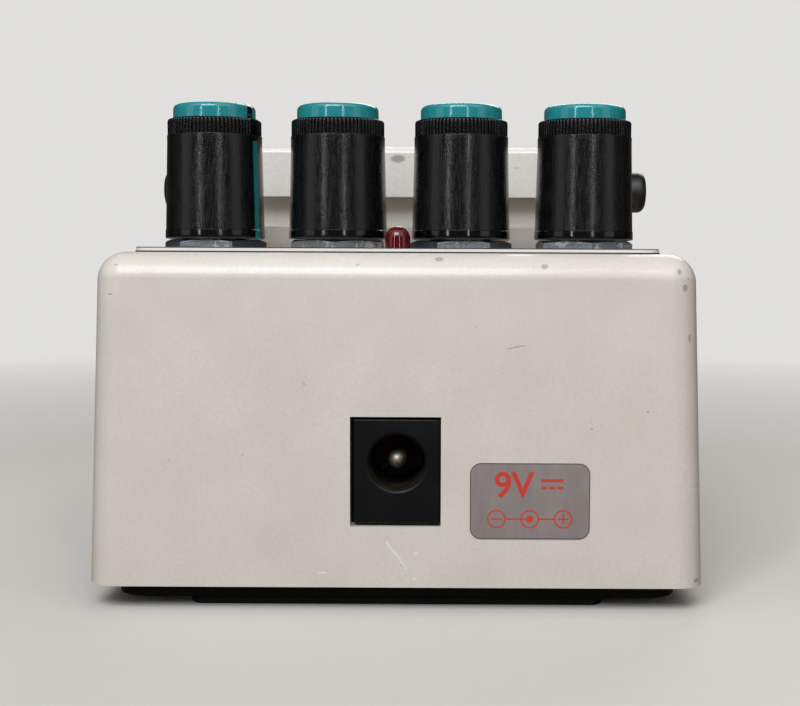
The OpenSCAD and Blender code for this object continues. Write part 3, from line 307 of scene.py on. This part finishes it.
# Moulded natural rubber: dull and pebbled on the tread, finer on the base
treadRubber = makeRubber("pebbledTreadRubber", "#1b1b1c", "#2a2a2a", 1.1, 0.12)
baseRubber = makeRubber("blackBaseRubber", "#0b0a0a", "#151414", 0.6, 0.05)


def makeLens():  # clear red epoxy lens: deep colour, mirror-smooth skin
    mat, tree, shader, coords = startMaterial("redEpoxyLens", Roughness=0.06, IOR=1.54, Transmission_Weight=0.25,
                                              Coat_Weight=0.15)
    swirl = addNoise(tree, coords, 1.5, 3.0)["Fac"]
    colour = mixColours(tree, swirl, linear("#4d0408"), linear("#66090f"))
    tree.links.new(colour, shader.inputs["Base Color"])
    return mat


def makeFoil():  # aluminised foil label: dull silver, rubbed in cloudy streaks
    mat, tree, shader, coords = startMaterial("silverFoilLabel", Metallic=0.55)
    rub = addNode(tree, "ShaderNodeMapping", {"Vector": coords, "Scale": (1, 1, 0.35), "Rotation": (0, 0.5, 0)})
    cloud = addNoise(tree, rub.outputs[0], 2.6, 6.0, 0.6)["Fac"]
    fine = addNoise(tree, coords, 0.4, 2.0)["Fac"]
    colour = mixColours(tree, spread(tree, cloud, 0.3, 0.75), linear("#aba19f"), linear("#908584"))
    tree.links.new(colour, shader.inputs["Base Color"])
    tree.links.new(spread(tree, cloud, 0.3, 0.7, 0.38, 0.55), shader.inputs["Roughness"])
    addBump(tree, shader, fine, 0.004, 0.4)
    return mat


redLens = makeLens()
foil = makeFoil()
print("materials made:", len(bpy.data.materials))


def makePiece(bm, name, body, mats, replaced=(), smooth=35):
    mesh = bpy.data.meshes.new(name)
    bm.to_mesh(mesh)
    bm.free()
    for mat in mats:
        mesh.materials.append(mat)
    mesh.shade_smooth()
    mesh.set_sharp_from_angle(angle=math.radians(smooth))
    obj = bpy.data.objects.new(name, mesh)
    scene.collection.objects.link(obj)
    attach(obj, body)
    if replaced:
        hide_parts(*replaced)
    return obj


def copySolid(node):  # a merged copy of a CAD node's mesh, flat faces made whole
    bm = bmesh.new()
    bm.from_mesh(nodes[node].data)
    bmesh.ops.remove_doubles(bm, verts=bm.verts, dist=tiny["merge"] * mm)
    bmesh.ops.dissolve_limit(bm, angle_limit=math.radians(0.4), verts=bm.verts, edges=bm.edges)
    return bm


edgeShape = dict(angle=40, segments=2, profile=0.5, flatWeight=100)


def softenEdges(obj, width):  # rounds sharp edges by this many millimetres
    bevel = obj.modifiers.new("softEdges", "BEVEL")
    bevel.width = width * mm
    bevel.segments = edgeShape["segments"]
    bevel.limit_method = "ANGLE"
    bevel.angle_limit = math.radians(edgeShape["angle"])
    bevel.profile = edgeShape["profile"]
    flats = obj.modifiers.new("flatFaces", "WEIGHTED_NORMAL")  # large faces stay flat up to where a rounding starts
    flats.weight = edgeShape["flatWeight"]
    flats.keep_sharp = True


def dressSolid(node, name, body, mat, edge=0.0, smooth=35):  # a CAD solid in its own shape, edges softened
    piece = makePiece(copySolid(node), name, body, [mat], [node], smooth)
    if edge:
        softenEdges(piece, edge)


def freshVerts(grown):  # the points that an extrusion made
    return [g for g in grown["geom"] if isinstance(g, bmesh.types.BMVert)]


def lathe(bm, profile, centre, steps, start=0.0):  # turns a profile of [r, z] in mm about a vertical axis
    spot = Vector(centre)
    turn = Vector((math.cos(start), math.sin(start), 0))
    verts = [bm.verts.new(spot + turn * (r * mm) + Vector((0, 0, z * mm))) for r, z in profile]
    edges = [bm.edges.new(pair) for pair in zip(verts, verts[1:])]
    bmesh.ops.spin(bm, geom=verts + edges, cent=spot, axis=(0, 0, 1), angle=math.tau, steps=steps, use_merge=True)
    bmesh.ops.remove_doubles(bm, verts=bm.verts, dist=tiny["weld"] * mm)
    bmesh.ops.recalc_face_normals(bm, faces=bm.faces)


def arcPoints(cx, cz, r, first, last, count):
    turns = [math.radians(first + (last - first) * i / count) for i in range(count + 1)]
    return [(cx + r * math.cos(a), cz + r * math.sin(a)) for a in turns]


# Control plate, and a dark film under it that paints the shadow of the gap below it
plateShape = dict(border=0.11, edge=0.09)
shadowFilmShape = dict(thick=0.15, proud=0.07)


def makePlate():  # the rounding of its top edge carries a dark band
    solid = copySolid("control_plate")
    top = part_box("control_plate")[1].z
    rim = [e for e in solid.edges if all(abs(v.co.z - top) < tiny["touch"] * mm for v in e.verts)]
    bmesh.ops.bevel(solid, geom=rim, offset=plateShape["border"] * mm, segments=2, profile=0.5, affect="EDGES",
                    material=1)
    piece = makePiece(solid, "controlPlate", "housing", [plateSheet, plateEdgeDarkBand], ["control_plate"])
    softenEdges(piece, plateShape["edge"])


def makeShadowFilm():  # dark film that shows as a line under the control plate, a painted shadow of the gap beneath it
    low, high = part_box("control_plate")
    film = copySolid("control_plate")
    bmesh.ops.bisect_plane(film, geom=film.verts[:] + film.edges[:] + film.faces[:], plane_no=(0, 0, 1),
                           plane_co=(0, 0, low.z + shadowFilmShape["thick"] * mm), clear_outer=True)
    size = high - low
    grow = [1 + 2 * shadowFilmShape["proud"] * mm / side for side in size[:2]]
    bmesh.ops.scale(film, verts=film.verts, vec=(grow[0], grow[1], 1), space=Matrix.Translation(-(low + high) / 2))
    makePiece(film, "plateShadowLine", "housing", [plateShadowFilm])


dressSolid("enclosure", "castEnclosure", "housing", caseEnamel, 0.22)
dressSolid("treadle", "castTreadle", "treadle", treadleEnamelPaintedLight, 0.3)
makePlate()
dressSolid("base_plate", "basePlate", "housing", blackEnamel, 0.25)
dressSolid("rubber_base", "rubberBase", "housing", baseRubber, 0.2)
dressSolid("treadle_pad", "rubberTread", "treadle", treadRubber, 0.25)
makeShadowFilm()
print("case pieces made")

# Knobs: a streaked body with a polished band at its foot, a ribbed ring and a teal cap
knobShape = dict(foot=6.1, neck=5.8, body=12.6, bore=4.4, boreH=2.0, footRound=0.25, hair=0.05, bandMid=0.7,
                 band=1.1, bandStep=0.06, sideRings=(2.4, 6.0, 9.5), shoulder=0.75, seat=4.6,
                 rim=((0.02, 0.12), (0.04, 0.02), (0.07, 0)), pointer=1.0, pointerFoot=0.1, pointerIn=5.2, steps=144)
ringShape = dict(radius=5.7, height=2.0, sink=0.3, ribs=72, ribSteps=3, ribDepth=0.16,
                 top=((0.18, 0.985), (0.1, 0.955), (0.02, 0.86)), blockDepth=0.5, blockIn=0.24, blockWider=0.3,
                 blockLower=0.1)
capShape = dict(radius=5.0, height=1.8, rounding=0.6, flare=0.01, foot=0.05, sink=0.2, flat=0.6, steps=96,
                falls=(0.03, 0.05, 0.07), stripeProud=0.03)
knobTurns = dict(level=240, feedback=240, time=240, mode=157)  # where each pointer stands, degrees from +X


def makeKnobBody(name, centre, aim):
    k = knobShape

    def radius(z):
        return k["foot"] - (k["foot"] - k["neck"]) / k["body"] * z

    profile = [(k["bore"], k["boreH"]), (k["bore"], k["hair"])]
    profile += arcPoints(k["foot"] - k["footRound"], k["footRound"], k["footRound"], -90, 0, 4)
    profile += [(radius(z), z) for z in (k["bandMid"], k["band"])]
    profile += [(radius(k["band"]) - k["hair"], k["band"] + k["bandStep"])]
    profile += [(radius(z) - k["hair"], z) for z in k["sideRings"] + (k["body"] - k["shoulder"],)]
    profile += [(k["neck"] - inset, k["body"] - drop) for inset, drop in k["rim"]] + [(k["seat"], k["body"])]
    bm = bmesh.new()
    lathe(bm, profile, centre, k["steps"], aim)
    for face in bm.faces:  # polished band, and the pointer line down the side
        mid = face.calc_center_median() - centre
        across = abs((math.atan2(mid.y, mid.x) - aim + math.pi) % math.tau - math.pi) * k["foot"]
        height = mid.z / mm
        face.material_index = 1 if height < k["band"] + k["bandStep"] else 0
        onSide = mid.to_2d().length > k["pointerIn"] * mm and k["pointerFoot"] < height < k["body"] - k["shoulder"]
        if onSide and across < k["pointer"] / 2:
            face.material_index = 2
    makePiece(bm, name + "KnobBody", name, [knobPlastic, bandPlastic, tealInk], [name + "_knob"])


def makeKnobRing(name, centre, aim):
    r = ringShape
    half = r["ribSteps"]
    ring = bmesh.new()
    made = bmesh.ops.create_circle(ring, radius=r["radius"] * mm, segments=2 * half * r["ribs"])["verts"]
    for step in range(1, half + 1):  # rounded ribs that meet in sharp valleys
        keep = 1 - r["ribDepth"] / r["radius"] * (1 - math.sqrt(1 - (step / half) ** 2))
        row = [v for i, v in enumerate(made) if abs(i % (2 * half) - half) == step]
        bmesh.ops.scale(ring, verts=row, vec=(keep, keep, 1))
    bmesh.ops.rotate(ring, verts=ring.verts, matrix=Matrix.Rotation(aim, 3, "Z"))
    bmesh.ops.translate(ring, verts=ring.verts, vec=centre + Vector((0, 0, (knobShape["body"] - r["sink"]) * mm)))
    for rise, shrink in ((r["height"], 1.0),) + r["top"]:
        crest = max(v.co.z for v in ring.verts)
        edges = [e for e in ring.edges if len(e.link_faces) < 2
                 and all(abs(v.co.z - crest) < tiny["touch"] * mm for v in e.verts)]
        fresh = freshVerts(bmesh.ops.extrude_edge_only(ring, edges=edges))
        bmesh.ops.translate(ring, verts=fresh, vec=(0, 0, rise * mm))
        bmesh.ops.scale(ring, verts=fresh, vec=(shrink, shrink, 1), space=Matrix.Translation(-centre))
    bmesh.ops.recalc_face_normals(ring, faces=ring.faces)
    block = bmesh.ops.create_cube(ring, size=1.0)["verts"]  # plain stretch of the ring behind the pointer
    sides = (r["blockDepth"], knobShape["pointer"] + r["blockWider"], r["height"] - r["blockLower"])
    bmesh.ops.scale(ring, verts=block, vec=[side * mm for side in sides])
    middle = knobShape["body"] + r["height"] / 2 - r["blockLower"] / 2
    bmesh.ops.translate(ring, verts=block, vec=((r["radius"] - r["blockIn"]) * mm, 0, middle * mm))
    bmesh.ops.rotate(ring, verts=block, matrix=Matrix.Rotation(aim, 3, "Z"))
    bmesh.ops.translate(ring, verts=block, vec=centre)
    makePiece(ring, name + "KnobRing", name, [ringPlastic], smooth=45)


def makeKnobCap(name, centre, aim):
    c = capShape
    foot = knobShape["body"] + ringShape["height"]
    top = foot + c["height"]
    wide = c["radius"] + c["flare"]
    crown = [(0.0, top - c["falls"][0]), (c["radius"] * c["flat"], top - c["falls"][1])]
    crown += arcPoints(c["radius"] - c["rounding"], top - c["rounding"] - c["falls"][2], c["rounding"], 84, 0, 8)
    crown += [(wide, foot + c["foot"]), (wide, foot - c["sink"])]
    cap = bmesh.new()
    lathe(cap, crown, centre, c["steps"], aim)
    makePiece(cap, name + "KnobCap", name, [tealPlastic], [name + "_cap"])

    stripe = bmesh.new()  # black rib that shows across the cap, a hair proud of it
    width = knobShape["pointer"]
    outline = [(r + c["stripeProud"] if r else r, z + c["stripeProud"]) for r, z in crown]
    outline.append((0.0, outline[-1][1]))
    flat = stripe.faces.new([stripe.verts.new((r * mm, -width / 2 * mm, z * mm)) for r, z in outline])
    fresh = freshVerts(bmesh.ops.extrude_face_region(stripe, geom=[flat]))
    bmesh.ops.translate(stripe, verts=fresh, vec=(0, width * mm, 0))
    bmesh.ops.recalc_face_normals(stripe, faces=stripe.faces)
    bmesh.ops.rotate(stripe, verts=stripe.verts, matrix=Matrix.Rotation(aim, 3, "Z"))
    bmesh.ops.translate(stripe, verts=stripe.verts, vec=centre)
    makePiece(stripe, name + "CapStripe", name, [bandPlastic])


for knobName, azimuth in knobTurns.items():
    capLow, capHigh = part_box(knobName + "_cap")
    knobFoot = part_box(knobName + "_knob")[0].z
    knobCentre = Vector(((capLow.x + capHigh.x) / 2, (capLow.y + capHigh.y) / 2, knobFoot))
    for makePart in (makeKnobBody, makeKnobRing, makeKnobCap):
        makePart(knobName, knobCentre, math.radians(azimuth))
print("knobs made")

# Nuts, lamp and sockets
nutShape = dict(lift=0.15, facet=0.8, edge=0.06)
lampShape = dict(radius=1.5, flange=1.9, flangeH=1, skirt=0.1, steps=64)
socketShape = dict(dust=4.2, steep=0.5, pin=1.2, edge=0.25)


def makeNuts():
    solid = copySolid("pot_nuts")
    low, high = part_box("pot_nuts")
    tops = [v for v in solid.verts if v.co.z > (low.z + high.z) / 2]
    bmesh.ops.translate(solid, verts=tops, vec=(0, 0, nutShape["lift"] * mm))  # up to just under the knobs
    solid.normal_update()
    for face in solid.faces:  # facets that look to the rear get the paler plate, a painted highlight
        face.material_index = 1 if face.normal.y > nutShape["facet"] else 0
    piece = makePiece(solid, "controlNuts", "housing", [darkZinc, zincPaintedLitFacets], ["pot_nuts"], 25)
    softenEdges(piece, nutShape["edge"])


def makeLamp():
    s = lampShape
    low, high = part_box("status_lamp")
    centre = Vector(((low.x + high.x) / 2, (low.y + high.y) / 2, 0))
    top, foot, rim = high.z / mm, low.z / mm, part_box("control_plate")[1].z / mm
    profile = [(0, foot), (s["flange"], foot), (s["flange"], foot + s["flangeH"]),
               (s["radius"], foot + s["flangeH"]), (s["radius"], rim + s["skirt"])]
    profile += arcPoints(0, top - s["radius"], s["radius"], 0, 90, 14)
    bm = bmesh.new()
    lathe(bm, profile, centre, s["steps"])
    makePiece(bm, "statusLamp", "housing", [redLens], ["status_lamp"])


def makeSocket():
    s = socketShape
    body = copySolid("power_socket")
    low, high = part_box("power_pin")
    for face in body.faces:  # dust has settled in the bore
        off = face.calc_center_median() - (low + high) / 2
        inBore = abs(face.normal.y) < s["steep"] and math.hypot(off.x, off.z) < s["dust"] * mm
        face.material_index = 1 if inBore else 0
    piece = makePiece(body, "powerSocket", "housing", [nylon, dustyNylon], ["power_socket"])
    softenEdges(piece, s["edge"])
    pin = copySolid("power_pin")
    for face in pin.faces:  # collar in brass, pin in its worn plating
        reach = max((v.co - (low + high) / 2).xz.length for v in face.verts)
        face.material_index = 1 if reach < s["pin"] * mm else 0
    makePiece(pin, "powerPin", "housing", [collarBrass, pinPlate], ["power_pin"])


makeNuts()
makeLamp()
makeSocket()
dressSolid("input_jack", "inputJack", "housing", nylon, 0.2)
dressSolid("output_jack", "outputJack", "housing", nylon, 0.2)
dressSolid("jack_nuts", "jackNuts", "housing", nickel, 0.08, 25)
dressSolid("jack_washers", "jackWashers", "housing", nickel, 0.1)
dressSolid("hinge_bushes", "hingeBushes", "treadle", acetal)
dressSolid("thumbscrew", "thumbScrew", "thumbscrew", darkZinc, 0.08, 20)
dressSolid("base_screws", "baseScrews", "housing", darkZinc, 0.1)
print("fittings made")

# Foil label on the rear wall, with a plain polarity sign
labelShape = dict(width=14.0, height=8.95, corner=1.3, cornerSteps=8, x=-15.7, z=13.2, thick=0.05, lift=0.01,
                  rim=0.12, lean=0.8, wallFoot=2.9)
signShape = dict(line=0.18, big=1.1, small=0.42, gap=3.9, arm=0.6, thick=0.012, drop=2.1, letters=4.2,
                 lettersX=-1.9, lettersY=0.5, bold=0.07, middle=0.36, dashX=2.6, dash=1.3, dotHalf=0.35,
                 dotPitch=0.95, apart=0.25)


def layOnWall(bm, lift):  # stands a flat drawing on the drafted rear wall, its top up and its face to the rear
    s = labelShape
    lean = math.radians(s["lean"])
    upright = Matrix.Rotation(math.pi, 3, "Z") @ Matrix.Rotation(math.pi / 2, 3, "X")
    bmesh.ops.rotate(bm, verts=bm.verts, matrix=upright)
    bmesh.ops.rotate(bm, verts=bm.verts, matrix=Matrix.Rotation(lean, 3, "X"))
    wallY = cadBox[1][1] - (s["z"] - s["wallFoot"]) * mm * math.tan(lean)
    bmesh.ops.translate(bm, verts=bm.verts, vec=(s["x"] * mm, wallY + lift * mm, s["z"] * mm))


def makeLabel():
    s = labelShape
    sheet = bmesh.new()
    bmesh.ops.create_grid(sheet, x_segments=1, y_segments=1, size=0.5)
    bmesh.ops.scale(sheet, verts=sheet.verts, vec=(s["width"] * mm, s["height"] * mm, 1))
    bmesh.ops.bevel(sheet, geom=sheet.verts[:], offset=s["corner"] * mm, segments=s["cornerSteps"], profile=0.5,
                    affect="VERTICES", material=-1)
    grown = bmesh.ops.extrude_face_region(sheet, geom=sheet.faces[:])
    bmesh.ops.translate(sheet, verts=freshVerts(grown), vec=(0, 0, s["thick"] * mm))
    bmesh.ops.recalc_face_normals(sheet, faces=sheet.faces)
    front = max(sheet.faces, key=lambda f: f.calc_center_median().z)
    for face in sheet.faces:
        face.material_index = 1
    bmesh.ops.inset_region(sheet, faces=[front], thickness=s["rim"] * mm)
    front.material_index = 0
    layOnWall(sheet, s["lift"])
    makePiece(sheet, "foilLabel", "housing", [foil, foilRim])


def makeSign():
    s = signShape
    sign = bmesh.new()

    def hoop(x):
        inner = bmesh.ops.create_circle(sign, radius=(s["big"] - s["line"]) * mm, segments=40)["verts"]
        outer = bmesh.ops.create_circle(sign, radius=s["big"] * mm, segments=40)["verts"]
        bmesh.ops.translate(sign, verts=inner + outer, vec=(x * mm, 0, 0))
        loops = [e for e in sign.edges if e.verts[0] in set(inner + outer)]
        bmesh.ops.bridge_loops(sign, edges=loops)

    def bar(x0, x1, y0, y1):
        made = bmesh.ops.create_grid(sign, x_segments=1, y_segments=1, size=0.5)["verts"]
        bmesh.ops.scale(sign, verts=made, vec=((x1 - x0) * mm, (y1 - y0) * mm, 1))
        bmesh.ops.translate(sign, verts=made, vec=((x0 + x1) / 2 * mm, (y0 + y1) / 2 * mm, 0))

    for x in (-s["gap"], 0, s["gap"]):
        hoop(x)
    bmesh.ops.create_circle(sign, cap_ends=True, radius=s["small"] * mm, segments=24)
    half = s["line"] / 2
    bar(-s["gap"] + s["big"], -s["small"], -half, half)
    bar(s["big"], s["gap"] - s["big"], -half, half)
    for x in (-s["gap"], s["gap"]):  # minus, and the first stroke of plus
        bar(x - s["arm"], x + s["arm"], -half, half)
    bar(s["gap"] - half, s["gap"] + half, -s["arm"], s["arm"])
    bmesh.ops.translate(sign, verts=sign.verts, vec=(0, -s["drop"] * mm, 0))

    letters = bpy.data.curves.new("voltage", "FONT")  # plain supply voltage
    letters.body = "9V"
    letters.size = s["letters"] * mm
    letters.align_x = "CENTER"
    letters.offset = s["bold"] * mm
    held = bpy.data.objects.new("voltage", letters)
    flat = bpy.data.meshes.new_from_object(held)
    bpy.data.objects.remove(held)
    before = set(sign.verts)
    sign.from_mesh(flat)
    bpy.data.meshes.remove(flat)
    added = [v for v in sign.verts if v not in before]
    bmesh.ops.translate(sign, verts=added, vec=(s["lettersX"] * mm, s["lettersY"] * mm, 0))
    middle = s["lettersY"] + s["letters"] * s["middle"]  # direct current sign beside it
    upper, lower = middle + s["apart"], middle - s["apart"]
    bar(s["dashX"] - s["dash"], s["dashX"] + s["dash"], upper, upper + 2 * s["line"])
    for i in (-1, 0, 1):
        x = s["dashX"] + s["dotPitch"] * i
        bar(x - s["dotHalf"], x + s["dotHalf"], lower - 2 * s["line"], lower)
    for face in sign.faces:
        if face.normal.z < 0:
            face.normal_flip()
    layOnWall(sign, labelShape["thick"] + s["thick"])
    makePiece(sign, "polaritySign", "housing", [labelInk])


makeLabel()
makeSign()
print("label made")

# Treadle spring: a finer tube on the solid's own helix
springShape = dict(mean=4.2, wire=0.9, sides=12, turns=6, rise=13.3, slope=14.3, steps=40)


def makeSpring():
    s = springShape
    lean = Matrix.Rotation(math.radians(s["slope"]), 3, "X")
    axis = lean @ Vector((0, 0, 1))
    rise = s["rise"] * mm
    solid = [v.co for v in nodes["treadle_spring"].data.vertices]
    start = sum(solid, Vector()) / len(solid) - axis * rise / 2
    bm = bmesh.new()
    wire = bmesh.ops.create_circle(bm, cap_ends=True, radius=s["wire"] / 2 * mm, segments=s["sides"])["verts"]
    bmesh.ops.rotate(bm, verts=wire, matrix=Matrix.Rotation(math.pi / 2, 3, "X"))
    bmesh.ops.translate(bm, verts=wire, vec=(s["mean"] * mm, 0, 0))
    bmesh.ops.rotate(bm, verts=wire, matrix=lean)
    bmesh.ops.translate(bm, verts=wire, vec=start)
    count = s["turns"] * s["steps"]
    bmesh.ops.spin(bm, geom=bm.faces[:] + bm.edges[:] + bm.verts[:], cent=start, axis=axis,
                   dvec=axis * (rise / count), angle=math.tau * s["turns"], steps=count)
    bmesh.ops.recalc_face_normals(bm, faces=bm.faces)
    piece = makePiece(bm, "treadleSpring", "housing", [springSteel], ["treadle_spring"])
    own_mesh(piece)


makeSpring()

# Solids whose own shape is right, finished with their real materials
finishes = {"battery": batteryShell, "battery_snap": nylon, "main_board": laminate, "board_chips": chipEpoxy,
            "board_capacitors": sleeve, "board_screws": nickel, "footswitch": nylon, "footswitch_plunger": acetal,
            "guide_bush": acetal, "hinge_shaft": nickel, "switch_pusher": treadRubber, "thumb_washer": nickel,
            "thumb_insert": brass, "level_pot": nickel, "feedback_pot": nickel, "time_pot": nickel,
            "mode_switch": nickel, "level_shaft": nickel, "feedback_shaft": nickel, "time_shaft": nickel,
            "mode_shaft": nickel}
for node, mat in finishes.items():
    for held in nodes[node].material_slots:
        held.material = mat
print("solids finished:", len(finishes))

# Studio: pale paper that sweeps up behind, soft light, and strip lamps that draw lines down the knobs
stageShape = dict(width=6.0, front=1.2, back=-0.75, curve=0.35, height=1.6, fadeFrom=0.09, fadeTo=0.32)


def makePaper():  # seamless background paper
    mat, tree, shader, coords = startMaterial("palePaperSweep", Roughness=0.9)
    fibre = addNoise(tree, coords, 2.0, 3.0)["Fac"]
    tone = mixColours(tree, fibre, linear("#e3e2e0"), linear("#dedddb"))
    rays = addNode(tree, "ShaderNodeLightPath").outputs
    seen = combine(tree, "MAXIMUM", rays["Is Camera Ray"], rays["Is Transmission Ray"])[0]
    # Light that bounces off the paper is toned down and warmed, so that the walls fall off towards their foot
    lit = mixColours(tree, fibre, linear("#c9c6bf"), linear("#c5c2bb"))
    tree.links.new(mixColours(tree, seen, linear("#6a604f"), lit), shader.inputs["Base Color"])
    # Away from the pedal the paper shows as its own pale colour
    away = combine(tree, "LENGTH", coords, kind="VectorMath")["Value"]
    part = combine(tree, "MULTIPLY", seen, spread(tree, away, stageShape["fadeFrom"], stageShape["fadeTo"]))[0]
    glow = addNode(tree, "ShaderNodeEmission", {"Color": tone})
    both = addNode(tree, "ShaderNodeMixShader", {0: part, 1: shader.outputs[0], 2: glow.outputs[0]})
    tree.links.new(both.outputs[0], tree.nodes["Material Output"].inputs["Surface"])
    return mat


def makeStage():
    s = stageShape
    bend = s["back"] + s["curve"]
    turns = [math.radians(a) for a in range(6, 91, 6)]
    path = [(s["front"], 0.0), (bend, 0.0)]
    path += [(bend - s["curve"] * math.sin(a), s["curve"] - s["curve"] * math.cos(a)) for a in turns]
    path += [(s["back"], s["height"])]
    bm = bmesh.new()
    verts = [bm.verts.new((-s["width"] / 2, y, z)) for y, z in path]
    edges = [bm.edges.new(pair) for pair in zip(verts, verts[1:])]
    grown = bmesh.ops.extrude_edge_only(bm, edges=edges)
    bmesh.ops.translate(bm, verts=freshVerts(grown), vec=(s["width"], 0, 0))
    bmesh.ops.recalc_face_normals(bm, faces=bm.faces)
    mesh = bpy.data.meshes.new("studioSweep")
    bm.to_mesh(mesh)
    bm.free()
    mesh.shade_smooth()
    mesh.materials.append(makePaper())
    sweep = bpy.data.objects.new("studioSweep", mesh)
    scene.collection.objects.link(sweep)


makeStage()


def addLamp(name, place, target, width, height, watts, tint="#ffffff"):
    lamp = bpy.data.lights.new(name, "AREA")
    lamp.shape = "RECTANGLE"
    lamp.size, lamp.size_y = width, height
    lamp.energy = watts
    lamp.color = linear(tint)[:3]
    obj = bpy.data.objects.new(name, lamp)
    obj.location = place
    obj.rotation_euler = (Vector(target) - Vector(place)).to_track_quat("-Z", "Y").to_euler()
    scene.collection.objects.link(obj)


addLamp("rearSoftbox", (0.14, 0.62, 0.62), (0, 0.06, 0.03), 0.5, 0.4, 5.0, "#e9f2ff")
addLamp("frontSoftbox", (-0.15, -0.6, 0.48), (0, -0.03, 0.03), 0.5, 0.3, 1.9)
addLamp("overheadBar", (0, 0.24, 0.33), (0, 0.055, 0.04), 0.6, 0.36, 0.74, "#fff6ea")
# Two thin tubes and two broad panels round the row of knobs, by degrees from straight behind: width and watts
stripLamps = dict(row=0.0525, away=0.42, rise=0.33, height=0.6,
                  lamps={30: (0.012, 0.34), -18: (0.012, 0.31), 64: (0.17, 0.21), -58: (0.17, 0.21)})
for side, (width, watts) in stripLamps["lamps"].items():
    row, away, rise = (stripLamps[key] for key in ("row", "away", "rise"))
    spot = (away * math.sin(math.radians(side)), row + away * math.cos(math.radians(side)), rise)
    addLamp("strip%d" % side, spot, (0, row, rise), width, stripLamps["height"], watts)


def makeWorld():
    world = bpy.data.worlds.new("softRoom")
    world.use_nodes = True
    tree = world.node_tree
    room = tree.nodes["Background"]
    room.inputs["Color"].default_value = linear("#eef0f2")
    room.inputs["Strength"].default_value = 0.1
    beyond = addNode(tree, "ShaderNodeBackground", {"Color": linear("#e1e0de")})  # past the paper's edges
    looked = addNode(tree, "ShaderNodeLightPath").outputs["Is Camera Ray"]
    either = addNode(tree, "ShaderNodeMixShader", {0: looked, 1: room.outputs[0], 2: beyond.outputs[0]})
    tree.links.new(either.outputs[0], tree.nodes["World Output"].inputs["Surface"])
    scene.world = world


makeWorld()
scene.view_settings.view_transform = "Standard"

# Camera: close behind the pedal, just under the level of its panel, looking slightly down
view = dict(place=(-5.667, 208.395, 42.127), yaw=0.028, pitch=4.612, roll=0.272, focal=1250.6, middle=444.0,
            width=800, sensor=36.0)


def addCamera():
    yaw, pitch, roll = (math.radians(view[k]) for k in ("yaw", "pitch", "roll"))
    ahead = Vector((math.sin(yaw) * math.cos(pitch), -math.cos(yaw) * math.cos(pitch), -math.sin(pitch)))
    across = ahead.cross(Vector((0, 0, 1))).normalized()
    turn = Matrix((across, across.cross(ahead), -ahead)).transposed() @ Matrix.Rotation(roll, 3, "Z")
    data = bpy.data.cameras.new("rearCamera")
    data.sensor_fit = "HORIZONTAL"
    data.sensor_width = view["sensor"]
    data.lens = view["focal"] / view["width"] * view["sensor"]
    data.shift_x = 0.5 - view["middle"] / view["width"]  # the photograph is cropped to one side
    data.clip_start = 0.01
    obj = bpy.data.objects.new("rearCamera", data)
    obj.matrix_world = Matrix.Translation(Vector(view["place"]) * mm) @ turn.to_4x4()
    scene.collection.objects.link(obj)
    scene.camera = obj


addCamera()
print("studio ready")
